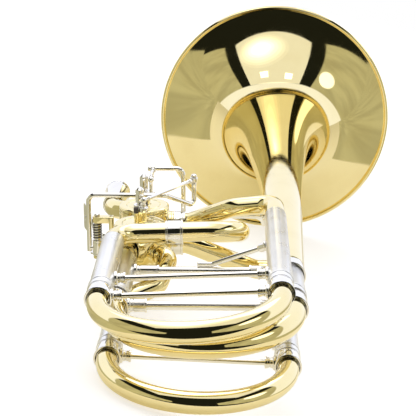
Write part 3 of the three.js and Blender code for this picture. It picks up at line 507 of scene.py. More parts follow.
def metal(name, colour, shade, roughness, coat, slot=None):
    """Polished metal: clouded colour, uneven polish, hairline scratches and a clear coat."""
    material, nodes = new_material(name, slot)
    spot = nodes.add("ShaderNodeTexCoord").outputs["Object"]
    clouds = nodes.noise(spot, scale=34.0)
    polish = nodes.noise(spot, scale=110.0, detail=5.0)
    stretch = nodes.add("ShaderNodeMapping")
    nodes.feed(stretch.inputs["Scale"], HAIRLINE_STRETCH)
    nodes.feed(stretch.inputs["Vector"], spot)
    hairlines = nodes.noise(stretch.outputs[0], scale=3.0, detail=2.0)
    shader = nodes.add("ShaderNodeBsdfPrincipled")
    tint = nodes.mix(nodes.ramp(clouds, *CLOUD_RANGE), (*colour, 1), (*shade, 1))
    nodes.feed(shader.inputs["Base Color"], tint)
    nodes.feed(shader.inputs["Metallic"], 1.0)
    nodes.feed(shader.inputs["Roughness"], nodes.ramp(polish, *POLISH_RANGE, *roughness))
    nodes.feed(shader.inputs["Coat Weight"], coat)
    nodes.feed(shader.inputs["Coat Roughness"], COAT_ROUGHNESS)
    relief = nodes.bump(nodes.math("ADD", hairlines, polish), strength=0.012, distance=0.0002)
    nodes.feed(shader.inputs["Normal"], relief)
    nodes.show("ShaderNodeOutputMaterial", shader.outputs[0])
    return material


def dull(name, colour, shade, roughness, grain):
    """Rubber: speckled in colour, in polish and in height."""
    material, nodes = new_material(name)
    spot = nodes.add("ShaderNodeTexCoord").outputs["Object"]
    speckle = nodes.noise(spot, grain, detail=6.0)
    polish = nodes.ramp(speckle, *SPECKLE_RANGE, roughness - SPECKLE_POLISH, roughness)
    shader = nodes.add("ShaderNodeBsdfPrincipled")
    nodes.feed(shader.inputs["Base Color"], nodes.mix(speckle, (*colour, 1), (*shade, 1)))
    nodes.feed(shader.inputs["Roughness"], polish)
    nodes.feed(shader.inputs["Normal"], nodes.bump(speckle, strength=0.4, distance=0.0003))
    nodes.show("ShaderNodeOutputMaterial", shader.outputs[0])
    return material


BRASS = metal("lacquered_brass", (0.93, 0.81, 0.455), (0.90, 0.77, 0.415), (0.03, 0.07), 0.3)
NICKEL = metal("nickel_silver", (0.90, 0.88, 0.84), (0.86, 0.83, 0.78), (0.05, 0.10), 0.15)
DRAWN_NICKEL = metal(
    "drawn_nickel", (0.93, 0.92, 0.90), (0.88, 0.87, 0.85), (0.27, 0.34), 0.1, "nickel_silver",
)
RUBBER = dull("bumper", (0.10, 0.085, 0.075), (0.15, 0.125, 0.11), 0.75, 900.0)
STEEL = metal("spring_steel", (0.20, 0.19, 0.17), (0.13, 0.12, 0.11), (0.22, 0.36), 0.0)


# Bell

RIM_RADIUS = 119.8
RIM_INSET = 0.12
BELL_WALL = 0.8
BEAD_RADIUS = 1.9
FLARE_REACH = 8.7
FLARE_POWER = 0.38
TAIL_RADIUS = MAIN_OUTER + FERRULE_GAP + FERRULE_WALL
FLARE_RINGS = 84
BEAD_STEPS = 20
BEAD_FROM = math.radians(-140)
BEAD_SWEEP = math.radians(230)


def flare_share(back):
    return (FLARE_REACH / (back + FLARE_REACH)) ** FLARE_POWER


FLARE_SPREAD = (RIM_RADIUS - TAIL_RADIUS) / (1 - flare_share(TAIL_BACK))
ASYMPTOTE = RIM_RADIUS - FLARE_SPREAD


def flare_radius(back):
    return ASYMPTOTE + FLARE_SPREAD * flare_share(back)


def flare_back(radius):
    share = (radius - ASYMPTOTE) / FLARE_SPREAD
    return FLARE_REACH * (share ** (-1 / FLARE_POWER) - 1)


def bell_outline():
    """Distance from the tail and radius: outside, rolled rim and inside of the sheet."""
    root = flare_back(RIM_RADIUS - 2 * BEAD_RADIUS - BELL_WALL)
    growth = (TAIL_BACK + FLARE_REACH) / (root + FLARE_REACH)
    backs = [
        (root + FLARE_REACH) * growth ** (ring / FLARE_RINGS) - FLARE_REACH
        for ring in range(FLARE_RINGS + 1)
    ]
    outside = [(TAIL_BACK - back, flare_radius(back)) for back in reversed(backs)]
    bead = []
    for step in range(BEAD_STEPS + 1):
        angle = BEAD_FROM + BEAD_SWEEP * step / BEAD_STEPS
        bead.append((
            TAIL_BACK - RIM_INSET - BEAD_RADIUS + BEAD_RADIUS * math.sin(angle),
            RIM_RADIUS - BEAD_RADIUS + BEAD_RADIUS * math.cos(angle),
        ))
    inside = []
    for back in backs:
        slope = -FLARE_POWER * FLARE_SPREAD * flare_share(back) / (back + FLARE_REACH)
        stretch = math.hypot(1, slope)
        inside.append((
            TAIL_BACK - back - BELL_WALL * slope / stretch,
            flare_radius(back) - BELL_WALL / stretch,
        ))
    return outside + bead + inside


bell_route = straight(leg(MAIN_RIGHT, TAIL_BACK), leg(MAIN_RIGHT, 0))
Form().skin(bell_route, bell_outline(), BELL_SIDES).finish("bell_flare", BRASS, ["bell"])


# Ferrules

BEAD_RISE = 0.5
BEAD_WIDTH = 1.3
FOOT_GROOVE_WIDTH = 0.5
FOOT_GROOVE_DEPTH = 0.35
FINE_DEPTH = 0.3
FINE_WIDTH = 0.4
FINE_FROM_END = 1.6


def turn_ferrule(form, centre, heading, length, tube):
    """A ring with a bead and a groove at its foot and a fine groove near its free end."""
    bore = tube + FERRULE_GAP
    outer = bore + FERRULE_WALL
    top = outer + BEAD_RISE
    floor = outer - FOOT_GROOVE_DEPTH
    grooved = BEAD_WIDTH + FOOT_GROOVE_WIDTH
    fine = length - FINE_FROM_END
    return form.turned(centre, heading, [
        (0, top), (BEAD_WIDTH, top), (BEAD_WIDTH, floor), (grooved, floor), (grooved, outer),
        *groove(fine, fine + FINE_WIDTH, outer, FINE_DEPTH), (length, outer),
    ], bore, FINE_EDGE)


def ferrule(name, node, centre, heading, length, tube):
    turn_ferrule(Form(), centre, heading, length, tube).finish(name, NICKEL, [node])


# Outer slide tubes, each with a band at its open end

TOWARDS_TAIL = Vector((0, -1, 0))
END_BAND = 9
END_BAND_RISE = 0.45
END_BAND_WAIST = 0.1
END_BAND_EDGE = 1.2
END_BAND_LIP = 2.2


def outer_tube(node, at, top, end, outer, inner):
    """A tube from its top to its open end, where a band with a waist stiffens it."""
    length = end - top
    start = length - END_BAND
    band = outer + END_BAND_RISE
    waist = (start + END_BAND_EDGE, length - END_BAND_LIP, band, END_BAND_RISE - END_BAND_WAIST)
    outside = [(0, outer), (start, outer), (start, band), *groove(*waist), (length, band)]
    form = Form().turned(leg(at, top), TOWARDS_TAIL, outside, inner, FINE_EDGE)
    form.finish(node + "_smooth", DRAWN_NICKEL, [node])


for side, at, top in (("right", MAIN_RIGHT, TAIL_BACK + SEAT), ("left", MAIN_LEFT, MAIN_LEFT_TOP)):
    outer_tube("main_outer_tube_" + side, at, top, MAIN_OUTER_END, MAIN_OUTER, MAIN_OUTER_BORE)
for node, at, top in (
    ("upper_outer_tube_left", UPPER_LEFT, UPPER_LEFT_TOP),
    ("upper_outer_tube_right", UPPER_RIGHT, RIGHT_TOP),
    ("lower_outer_tube_left", LOWER_LEFT, LOWER_LEFT_TOP),
    ("lower_outer_tube_right", LOWER_RIGHT, RIGHT_TOP),
):
    outer_tube(node, at, top, ATTACHMENT_OUTER_END, SLIDE_OUTER, SLIDE_OUTER_BORE)

TAIL_FERRULE = 14
TAIL_BEAD_START = TAIL_FERRULE - 1.4
TAIL_GROOVE_WIDTH = 0.6
TAIL_GROOVE_START = TAIL_BEAD_START - 2 * TAIL_GROOVE_WIDTH
TAIL_GROOVE_END = TAIL_GROOVE_START + TAIL_GROOVE_WIDTH
Form().turned(leg(MAIN_RIGHT, TAIL_BACK + SEAT), TOWARDS_TAIL, [
    (0, TAIL_RADIUS), (TAIL_GROOVE_START, TAIL_RADIUS),
    (TAIL_GROOVE_START, TAIL_RADIUS - FINE_DEPTH), (TAIL_GROOVE_END, TAIL_RADIUS - FINE_DEPTH),
    (TAIL_BEAD_START, TAIL_RADIUS + BEAD_RISE), (TAIL_FERRULE, TAIL_RADIUS + BEAD_RISE),
], MAIN_OUTER + FERRULE_GAP, FINE_EDGE).finish("tail_ferrule", NICKEL, ["bell_tail_ferrule"])


# Braces between two tubes: bar radius, sleeve radius and sleeve length of each kind

MAIN_BRACE = (3.2, 4.6, 13)
WIDE_BRACE = (3.1, 4.3, 18)
THIN_BRACE = (2, 3.6, 7)
SOLDER_ROOT = 0.6
FOOT_RISE = 1.4
FOOT_WIDTH = 1.2
FOOT_SLOPE = 0.6
SLEEVE_GROOVE = (3.2, 3.9)
SLEEVE_GROOVE_DEPTH = 0.5
SLEEVE_LIP = 1.6
SLEEVE_LIP_RISE = 0.5


def brace_form(form, start, end, kind, inset_start, inset_end):
    """A bar with a stepped, grooved sleeve at each end, soldered to the tubes beside it."""
    radius, sleeve, sleeve_length = kind
    span = end - start
    stop = span.length - inset_end
    outline = bored([(inset_start, radius), (stop, radius)], 0)
    form.skin(straight(start, end), outline, ROD_SIDES, closed=False)
    for begin, way, gap in ((start, span, inset_start), (end, -span, inset_end)):
        root, foot, reach = gap - SOLDER_ROOT, gap + FOOT_WIDTH, gap + sleeve_length
        lip = sleeve + SLEEVE_LIP_RISE
        cut = [gap + along for along in SLEEVE_GROOVE]
        form.turned(begin, way, [
            (root, sleeve + FOOT_RISE), (foot, sleeve + FOOT_RISE), (foot + FOOT_SLOPE, sleeve),
            *groove(*cut, sleeve, SLEEVE_GROOVE_DEPTH), (reach - SLEEVE_LIP, sleeve),
            (reach - SLEEVE_LIP, lip), (reach, lip), (reach, radius),
        ], edge=FINE_EDGE, sides=ROD_SIDES)
    return form


# Slides: a bow, two inner tubes and a brace soldered to its two ferrules

FERRULE_BITE = 0.2
MAIN_SLIDE = {
    "start": 546, "inner_top": 474, "bow": (MAIN_BOW, MAIN_BORE), "inner": (MAIN_BOW, MAIN_BORE),
    "ferrule_length": 14, "brace": MAIN_BRACE,
}
ATTACHMENT_SLIDE = {
    "start": 583, "inner_top": 495, "bow": (BRANCH, BRANCH_BORE),
    "inner": (SLIDE_TUBE, SLIDE_TUBE_BORE), "ferrule_length": 13, "brace": THIN_BRACE,
}


def slide(name, left, right, start, inner_top, bow, inner, ferrule_length, brace):
    """Distances are behind the rim; bow and inner are each a tube's radius and its bore's."""
    radius = math.hypot(right[0] - left[0], right[1] - left[1]) / 2
    back = start + radius
    corners = [leg(left, start), leg(left, back), leg(right, back), leg(right, start)]
    route = Route(corners, [radius, radius])
    crook = Form().pipe(route, bow[0] - BOW_INSET, bow[1])
    crook.finish(name + "_crook", BRASS, [name + "_bow"], name)
    for side, at in (("left", left), ("right", right)):
        node = f"{name}_inner_tube_{side}"
        tube = Form().pipe(straight(leg(at, inner_top), leg(at, start - SEAT)), *inner)
        tube.finish(node + "_smooth", NICKEL, [node], name)
    thick = max(bow[0], inner[0])
    form = Form()
    for at in (left, right):
        turn_ferrule(form, leg(at, start), -TOWARDS_TAIL, ferrule_length, thick)
    middle = start - ferrule_length / 2
    hold = thick + FERRULE_GAP + FERRULE_WALL - FERRULE_BITE
    brace_form(form, leg(left, middle), leg(right, middle), brace, hold, hold)
    form.finish(name + "_brace_and_ferrules", NICKEL, [name + "_brace"], name)


slide("main_slide", MAIN_LEFT, MAIN_RIGHT, **MAIN_SLIDE)
slide("upper_slide", UPPER_LEFT, UPPER_RIGHT, **ATTACHMENT_SLIDE)
slide("lower_slide", LOWER_LEFT, LOWER_RIGHT, **ATTACHMENT_SLIDE)


# Rotary valves

VALVE_ACROSS = 113.4
BOSS_TOP = {"far": 28, "near": 31.3}
STOP_ANGLE = {"far": math.radians(-45), "near": math.radians(-66)}
PORT_CHORD = 10.6
PORT_REACH = 23.2
PORT_START = 16.6
LINE_PORT_REACH = 21
FAR_FEED_RISE = 2
CASING_RADIUS = 20
CASING_HALF = 17


def valve_point(name, x, y, z):
    """A point given from the valve's axis, level with the bell axis."""
    return place(-VALVE_ACROSS, VALVE_BACK[name], 0) + Vector((x, y, z))


def line_port(name, side):
    """Where a port starts and ends; the other ports are given in the same way."""
    end = valve_point(name, -PORT_CHORD, side * LINE_PORT_REACH, 0)
    return valve_point(name, -PORT_CHORD, 0, 0), end


def level_port(name, side, rise):
    y = side * PORT_CHORD
    return valve_point(name, 0, y, rise), valve_point(name, PORT_REACH, y, rise)


def slant_port(name, side):
    reach = PORT_REACH * math.sqrt(0.5)
    return valve_point(name, 0, 0, 0), valve_point(name, reach, side * reach, 0)


# The ports of each valve to its loop; two more, in the line, are the same on both valves

FEED = {"far": level_port("far", 1, FAR_FEED_RISE), "near": level_port("near", 1, 0)}
RETURN = {"far": level_port("far", -1, 0), "near": slant_port("near", -1)}


def add_casing(name):
    """The casing with a groove near each end, and the sleeves of its ports."""
    groove_from, groove_to, depth = CASING_HALF - 2.9, CASING_HALF - 2.2, 0.5
    form = Form().turned(valve_point(name, 0, 0, 0), Z_AXIS, [
        (-CASING_HALF, CASING_RADIUS), *groove(-groove_to, -groove_from, CASING_RADIUS, depth),
        *groove(groove_from, groove_to, CASING_RADIUS, depth), (CASING_HALF, CASING_RADIUS),
    ], bore=18.3, sides=CASING_SIDES)
    for start, end in (line_port(name, 1), line_port(name, -1), FEED[name], RETURN[name]):
        reach = (end - start).length
        form.turned(start, end - start, [
            (PORT_START, PORT_SLEEVE), *groove(reach - 1.8, reach - 1.4, PORT_SLEEVE, 0.35),
            (reach, PORT_SLEEVE),
        ], BRANCH_BORE, FINE_EDGE)
    form.finish(name + "_casing", BRASS, [name + "_valve_casing"])


def add_casing_cap(name):
    """The screw cap under the casing, dished round its middle."""
    radius = 21
    chamfer = 1
    dish_radii = (13, 12, 4, 3)
    top = -CASING_HALF - SEAT
    low = top - 3.4
    dish = low + 0.6
    form = Form().turned(valve_point(name, 0, 0, 0), Z_AXIS, [
        (top, radius), *groove(top - 1, top - 1.4, radius, 0.5), (low + chamfer, radius),
        (low, radius - chamfer), *zip((low, dish, dish, low), dish_radii),
    ], edge=SOFT_EDGE, sides=CAP_SIDES)
    form.finish(name + "_screw_cap", BRASS, [name + "_casing_cap"])


STOP_REACH = 8.5
PAD_RADIUS = 3.6
BUMPER_RADIUS = 1.9
BUMPER_CLEARANCE = 0.4
BOSS_RADIUS = 4.8


def bumper_spots(name):
    """Where the two bumpers stand, a quarter turn of the stop arm apart."""
    apart = PAD_RADIUS + BUMPER_RADIUS + BUMPER_CLEARANCE
    spread = 2 * math.asin(apart / (2 * STOP_REACH))
    rest = STOP_ANGLE[name]
    return [
        Vector((STOP_REACH * math.cos(angle), STOP_REACH * math.sin(angle), 0))
        for angle in (rest - spread, rest + math.pi / 2 + spread)
    ]


def add_bearing_plate(name):
    """The stepped plate with the spindle's boss, and the two bumpers on their posts."""
    radius = 20
    step = 0.4
    ring_outside, ring_inside = 14.2, 12.6
    foot = CASING_HALF + SEAT
    top = foot + 3.2
    boss = BOSS_TOP[name]
    centre = valve_point(name, 0, 0, 0)
    form = Form().turned(centre, Z_AXIS, [
        (foot, radius), (top - 4 * step, radius), (top - 3 * step, radius - step),
        (top - 2 * step, radius - step / 2), (top, radius - 3.5 * step), (top, ring_outside),
        (top - step, ring_outside - step), (top - step, ring_inside + step), (top, ring_inside),
        (top, BOSS_RADIUS + 1), (top + 1, BOSS_RADIUS), (boss - 2 * step, BOSS_RADIUS),
        (boss, BOSS_RADIUS - 1.5 * step),
    ], bore=2.8, sides=CASING_SIDES)
    post_radius, head_radius = 1.3, 2.1
    root, head, post = top - 1.5, boss - SEAT - 1, boss - SEAT
    for spot in bumper_spots(name):
        form.turned(centre + spot, Z_AXIS, [
            (root, post_radius), (head, post_radius), (head, head_radius), (post, head_radius),
        ], edge=0.15, sides=ROD_SIDES)
    form.finish(name + "_plate", BRASS, [name + "_bearing_plate"])
    crown = 1.2
    tip = boss + 4.2
    for spot, side in zip(bumper_spots(name), ("first", "second")):
        peg = Form().turned(centre + spot, Z_AXIS, [
            (boss, BUMPER_RADIUS), (tip - crown / 2, BUMPER_RADIUS), (tip, crown),
        ], edge=SOFT_EDGE, sides=ROD_SIDES)
        peg.finish(f"{name}_{side}_peg", RUBBER, [f"{name}_{side}_bumper"])


ARM_GAP = 0.4
ARM_HEIGHT = 3.6
ARM_EDGE = 0.35


def add_stop_arm(name):
    """A hub on the spindle, a short bar and the round pad that meets the bumpers."""
    foot = BOSS_TOP[name] + ARM_GAP
    top = foot + ARM_HEIGHT
    centre = valve_point(name, 0, 0, 0)
    heading = Vector((math.cos(STOP_ANGLE[name]), math.sin(STOP_ANGLE[name]), 0))
    hub = [(foot, BOSS_RADIUS), (top, BOSS_RADIUS)]
    form = Form().turned(centre, Z_AXIS, hub, bore=2.7, edge=ARM_EDGE, sides=HUB_SIDES)
    middle = centre + heading * 5.4 + Z_AXIS * (foot + top) / 2
    corners = round_cornered(length=5.6, width=5.2, radius=0.4)
    form.plate(middle, Z_AXIS.cross(heading), heading, corners, thickness=3.3)
    form.turned(centre + heading * STOP_REACH, Z_AXIS, [
        (foot, PAD_RADIUS), (top, PAD_RADIUS), (top, 2.2), (top - 0.3, 2),
    ], edge=ARM_EDGE, sides=HUB_SIDES)
    form.finish(name + "_arm", NICKEL, [name + "_stop_arm"], name + "_rotor")


def add_spindle(name):
    """Spindle and the round-topped cap screwed on it, over the rotor's own solid."""
    radius, cap_radius, cap_height = 2.45, 3.35, 11.65
    foot = CASING_HALF + 0.2
    cap = BOSS_TOP[name] + ARM_GAP + ARM_HEIGHT + 2
    low, top = cap - 0.05, cap + cap_height
    form = Form().turned(valve_point(name, 0, 0, 0), Z_AXIS, [
        (foot, radius), (low, radius), (low, cap_radius),
        *groove(cap + 1.2, cap + 1.8, cap_radius, 0.35), (top - 2.2, cap_radius),
        (top - 1.2, cap_radius - 0.5), (top - 0.4, cap_radius - 1.4), (top, 1),
    ], edge=SOFT_EDGE, sides=HUB_SIDES)
    form.finish(name + "_spindle_cap", NICKEL, body=name + "_rotor")


for name in ("far", "near"):
    add_casing(name)
    add_casing_cap(name)
    add_bearing_plate(name)
    add_stop_arm(name)
    add_spindle(name)


# Line tubing

PORT_SEAT = LINE_PORT_REACH + SEAT
RECEIVER_AT = (-144, -3)
RECEIVER_RADIUS = 11
RECEIVER_SHOULDER = 10.6
RECEIVER_BORE = 9.4
RECEIVER_LIP = 9.8
RECEIVER_TUBE = 8.3
RECEIVER_BENDS = [18, 18]

LINE_ROUTE = Route([
    leg(RECEIVER_AT, 291), leg(RECEIVER_AT, 310), leg(MAIN_LEFT, 327),
    leg(MAIN_LEFT, VALVE_BACK["far"] - PORT_SEAT),
], RECEIVER_BENDS)
Form().pipe(LINE_ROUTE, LINE, LINE_BORE).finish("goose_neck", BRASS, ["gooseneck"])
receiver_route = straight(leg(RECEIVER_AT, 262), leg(RECEIVER_AT, 300))
Form().skin(receiver_route, rounded([
    (0, RECEIVER_BORE), (0, RECEIVER_RADIUS),
    *groove(2, 2.6, RECEIVER_RADIUS, RECEIVER_RADIUS - RECEIVER_SHOULDER),
    (6, RECEIVER_RADIUS), (8, RECEIVER_SHOULDER), (36, RECEIVER_BORE), (36, RECEIVER_LIP),
    (38, RECEIVER_LIP), (38, RECEIVER_TUBE), (28.7, RECEIVER_TUBE),
], SOFT_EDGE)).finish("receiver_sleeve", NICKEL, ["receiver"])
ferrule("gooseneck_band", "gooseneck_ferrule", leg(MAIN_LEFT, 338), TOWARDS_TAIL, 9, LINE)
for node, top, end in (
    ("valve_link_tube", VALVE_BACK["far"] + PORT_SEAT, VALVE_BACK["near"] - PORT_SEAT),
    ("valve_outlet_tube", VALVE_BACK["near"] + PORT_SEAT, MAIN_LEFT_TOP - SEAT),
):
    tube = Form().pipe(straight(leg(MAIN_LEFT, top), leg(MAIN_LEFT, end)), LINE, LINE_BORE)
    tube.finish(node + "_smooth", BRASS, [node])


# Branch tubes: the corners of each route and the radii of its bends

SLANT = Vector((1, -1, 0)).normalized()
FAR_FEED, NEAR_FEED = (FEED[name][1] + X_AXIS * SEAT for name in ("far", "near"))
FAR_RETURN = RETURN["far"][1] + X_AXIS * SEAT
NEAR_RETURN = RETURN["near"][1] + SLANT * SEAT
FEED_LEAD = X_AXIS * 12
RETURN_LEAD = SLANT * 9
OVER_LEG_BACK = 446
OVER_LEG_HEIGHT = 24
RETURN_ACROSS = -36.5
LOWER_FEED_BACK = 394

BRANCHES = {
    "upper_feed_tube": (
        [FAR_FEED, FAR_FEED + FEED_LEAD, place(-42, 379, 21), leg(UPPER_RIGHT, 385),
         leg(UPPER_RIGHT, RIGHT_TOP - SEAT)],
        [12, 30, 14],
    ),
    "upper_return_tube": (
        [leg(UPPER_LEFT, UPPER_LEFT_TOP - SEAT), leg(UPPER_LEFT, OVER_LEG_BACK),
         place(RETURN_ACROSS, OVER_LEG_BACK, OVER_LEG_HEIGHT),
         place(RETURN_ACROSS, VALVE_BACK["far"] + PORT_CHORD, 0), FAR_RETURN],
        [17, 26, 26],
    ),
    "lower_feed_tube": (
        [NEAR_FEED, NEAR_FEED + FEED_LEAD, place(-24, LOWER_FEED_BACK, LOWER_RIGHT[1]),
         leg(LOWER_RIGHT, LOWER_FEED_BACK), leg(LOWER_RIGHT, RIGHT_TOP - SEAT)],
        [12, 12, 14],
    ),
    "lower_return_tube": (
        [NEAR_RETURN, NEAR_RETURN + RETURN_LEAD, place(-98, 464, -14), leg(LOWER_LEFT, 478),
         leg(LOWER_LEFT, LOWER_LEFT_TOP - SEAT)],
        [9.5, 12, 14],
    ),
}
for node, (corners, bends) in BRANCHES.items():
    tube = Form().pipe(Route(corners, bends), BRANCH, BRANCH_BORE)
    tube.finish(node + "_smooth", BRASS, [node])

FEED_FERRULE = 9
RETURN_FERRULE = 13
RETURN_FERRULE_ALONG = 51
for node, start in (("upper_feed_ferrule", FAR_FEED), ("lower_feed_ferrule", NEAR_FEED)):
    ferrule(node + "_band", node, start + X_AXIS * FEED_FERRULE, -X_AXIS, FEED_FERRULE, BRANCH)
return_start, return_end = BRANCHES["upper_return_tube"][0][1:3]
return_heading = (return_end - return_start).normalized()
ferrule("upper_return_band", "upper_return_ferrule",
        return_start + return_heading * RETURN_FERRULE_ALONG, -return_heading, RETURN_FERRULE, BRANCH)


# Fixed braces

WIDE_BRACE_BACK = 469
THIN_BRACE_BACK = 543
TUBE_BITE = 0.1
wide = brace_form(
    Form(), leg(MAIN_LEFT, WIDE_BRACE_BACK), leg(MAIN_RIGHT, WIDE_BRACE_BACK), WIDE_BRACE,
    MAIN_OUTER - TUBE_BITE, TAIL_RADIUS + SEAT,
)
wide.finish("wide_brace_bar", NICKEL, ["wide_brace"])
for node, left, right in (
    ("upper_outer_brace", UPPER_LEFT, UPPER_RIGHT),
    ("lower_outer_brace", LOWER_LEFT, LOWER_RIGHT),
):
    hold = SLIDE_OUTER - TUBE_BITE
    ends = leg(left, THIN_BRACE_BACK), leg(right, THIN_BRACE_BACK)
    brace_form(Form(), *ends, THIN_BRACE, hold, hold).finish(node + "_bar", NICKEL, [node])

# Bell brace, from the gooseneck to a flange on the bell's stem

BELL_BRACE_BACK = 334
STAY_REACH = -MAIN_LEFT[0] - flare_radius(BELL_BRACE_BACK)
STAY_FLANGE = 2.4
stay = Form().turned(leg(MAIN_LEFT, BELL_BRACE_BACK), X_AXIS, [
    (LINE - 0.2, 4.8), (LINE + 1.2, 4.8), (LINE + 1.8, 3.6), (LINE + 6, 3.6), (LINE + 6, 4),
    (LINE + 7, 4), (LINE + 7, 3), (STAY_REACH - 8, 3), (STAY_REACH - 6, 3.8),
    (STAY_REACH - 4, 5.2), (STAY_REACH - STAY_FLANGE, 9.5), (STAY_REACH + STAY_FLANGE, 9.5),
], edge=SOFT_EDGE, sides=HUB_SIDES)
stay.finish("bell_stay", NICKEL, ["bell_brace"])

# Strut, along the wide brace and up to the upper slide's right tube

STRUT_RADIUS = 1.9
STRUT_HEIGHT = WIDE_BRACE[0] + SEAT + STRUT_RADIUS
STRUT_BEND = 5
strut_top = leg(UPPER_RIGHT, 479)
strut_bend = place(-57, WIDE_BRACE_BACK, STRUT_HEIGHT)
strut_heading = (strut_top - strut_bend).normalized()
strut_route = Route([place(-68, WIDE_BRACE_BACK, STRUT_HEIGHT), strut_bend, strut_top], [STRUT_BEND])
strut = Form().bar(strut_route, STRUT_RADIUS, strut_route.length - SLIDE_OUTER, edge=0.7)
strut.turned(strut_top, -strut_heading, [
    (SLIDE_OUTER - 0.4, 4.2), (SLIDE_OUTER + 1, 4.2), (SLIDE_OUTER + 1.6, 3.3),
    (SLIDE_OUTER + 5.6, 3.1), (SLIDE_OUTER + 7, STRUT_RADIUS),
], edge=TURNED_EDGE, sides=ROD_SIDES)
strut.finish("slanted_strut", NICKEL, ["strut"])


# Levers: rods of one thickness with an eye bolt, a clamped thumb paddle and a hinge

ROD = 1.9
EYE_HALF = 1.9
EYE_GAP = 0.4
BOLT_RADIUS = 1.3
BOLT_SHORT = 3.4
BOLT_LONG = 4.2
SCREW_HEAD = (2.2, 2.4)
CLAMP_HEAD = (3.8, 1.7)
HEAD_SHARE = 0.6
PADDLE_SIZE = (22, 14, 1.6)
PADDLE_SLOT_OFFSET = 4
HUB_GROOVE_DEPTH = 0.3


def screw_head(form, centre, heading, begin, size=SCREW_HEAD):
    length, radius = size
    form.turned(centre, heading, [
        (begin, radius), (begin + length * HEAD_SHARE, radius), (begin + length, radius * HEAD_SHARE),
    ], edge=ROUND_EDGE, sides=ROD_SIDES)


def paddle(form, centre, across, along, outward):
    """A thumb plate with two slots and the screw that clamps it."""
    length, width, thickness = PADDLE_SIZE
    slots = [
        [(right + side * PADDLE_SLOT_OFFSET, up) for right, up in round_ended(length=7, width=1.8)]
        for side in (-1, 1)
    ]
    corners = round_cornered(length, width, radius=2.4)
    form.plate(centre, across, along, corners, thickness, ARM_EDGE, slots)
    screw_head(form, centre, outward, -2.2, CLAMP_HEAD)


def eye_bolt(form, centre, axis, below, above, head_axis):
    """The bolt through a link's eye, and its head."""
    bolt = [(-below, BOLT_RADIUS), (above, BOLT_RADIUS)]
    form.turned(centre, axis, bolt, edge=FINE_EDGE, sides=ROD_SIDES)
    screw_head(form, centre, head_axis, EYE_HALF + EYE_GAP)


# First lever

HINGE = place(-149, 395, 0)
POST = place(-155.5, 395, 0)
FIRST_EYE = place(-73.4, 369.5, 41)
FIRST_TOP = 35.4
FIRST_STEP = 19
FIRST_PADDLE = place(-161, 361, 6)
PADDLE_TURN = Matrix.Rotation(math.radians(20), 3, "Z")
FIRST_ARM_Z = -8
HINGE_TUBE = 4
HINGE_WAIST = 2.6
HINGE_BORE = 1.5
first = Form()
first.turned(HINGE, Z_AXIS, [
    (-14, HINGE_TUBE), *groove(-12.6, -12, HINGE_TUBE, HUB_GROOVE_DEPTH),
    *groove(-3.4, -2.8, HINGE_TUBE, HUB_GROOVE_DEPTH), (-1.4, HINGE_TUBE), (-1.4, HINGE_WAIST),
    (12.6, HINGE_WAIST),
], HINGE_BORE, TURNED_EDGE, HUB_SIDES)
first.bar(Route([
    at_height(POST, -11), at_height(POST, FIRST_TOP), place(-95, 395, FIRST_TOP),
    at_height(FIRST_EYE, FIRST_STEP), at_height(FIRST_EYE, FIRST_EYE.z - EYE_HALF - EYE_GAP),
], [5.5, 5.5, 4]), ROD)
first.bar(straight(place(-151.75, 395, FIRST_ARM_Z), at_height(POST, FIRST_ARM_Z)), ROD)
eye_bolt(first, FIRST_EYE, Z_AXIS, BOLT_LONG, BOLT_SHORT, Z_AXIS)
paddle_out = PADDLE_TURN @ X_AXIS
paddle_wide = PADDLE_TURN @ Y_AXIS
paddle_back = FIRST_PADDLE + paddle_out * 2.7
first.bar(Route([
    place(-149, 392.25, FIRST_ARM_Z), place(-151, 381, -5), paddle_back - paddle_wide * 10,
    paddle_back + paddle_wide * 3,
], [3, 3]), ROD)
paddle(first, FIRST_PADDLE, paddle_wide, Z_AXIS, -paddle_out)
first.finish("first_thumb_lever", NICKEL, ["first_lever"], "first_lever")

# Hinge bracket, screw and spring

EAR_WIDTH = 7.2
EAR_LENGTH = 16.6
UPPER_EAR = (13, 18)
LOWER_EAR = (-16.8, -14.4)
SCREW_RADIUS = 1.2
SCREW_TOP = 18.4
bracket = Form()
for low_z, high_z in (UPPER_EAR, LOWER_EAR):
    ear = place(-144.3, 395, (low_z + high_z) / 2)
    bracket.plate(ear, Y_AXIS, X_AXIS, round_ended(EAR_LENGTH, EAR_WIDTH), high_z - low_z, ROUND_EDGE)
for centre, along, length, corner, thickness in (
    (place(-137.75, 395, 0.6), Z_AXIS, 34.8, 0.8, 3.5),
    (place(-135.5, 395, 4), X_AXIS, 7.6, 0.6, 6),
):
    corners = round_cornered(length, EAR_WIDTH, corner)
    bracket.plate(centre, Y_AXIS, along, corners, thickness, ROUND_EDGE)
bracket.finish("hinge_bracket", BRASS, ["first_lever_bracket"])
shank = [(LOWER_EAR[0], SCREW_RADIUS), (SCREW_TOP, SCREW_RADIUS)]
pin = Form().turned(HINGE, Z_AXIS, shank, edge=FINE_EDGE, sides=ROD_SIDES)
screw_head(pin, HINGE, Z_AXIS, UPPER_EAR[1] + SEAT)
pin.finish("hinge_screw", NICKEL, ["first_hinge_screw"])

SPRING_STEPS = 24


class Coil(Route):
    """An even coil round an upright axis."""

    def __init__(self, centre, radius, foot, top, turns):
        self.centre, self.radius, self.foot = centre, radius, foot
        self.climb = top - foot
        self.turns = turns
        self.length = turns * 2 * math.pi * radius

    def at(self, along):
        share = along / self.length
        angle = 2 * math.pi * self.turns * share
        spoke = Vector((math.cos(angle), math.sin(angle), 0))
        point = self.centre + spoke * self.radius + Z_AXIS * (self.foot + self.climb * share)
        return point, spoke, Z_AXIS

    def stations(self, begin, end):
        steps = self.turns * SPRING_STEPS
        return between([self.length * step / steps for step in range(steps)], begin, end)


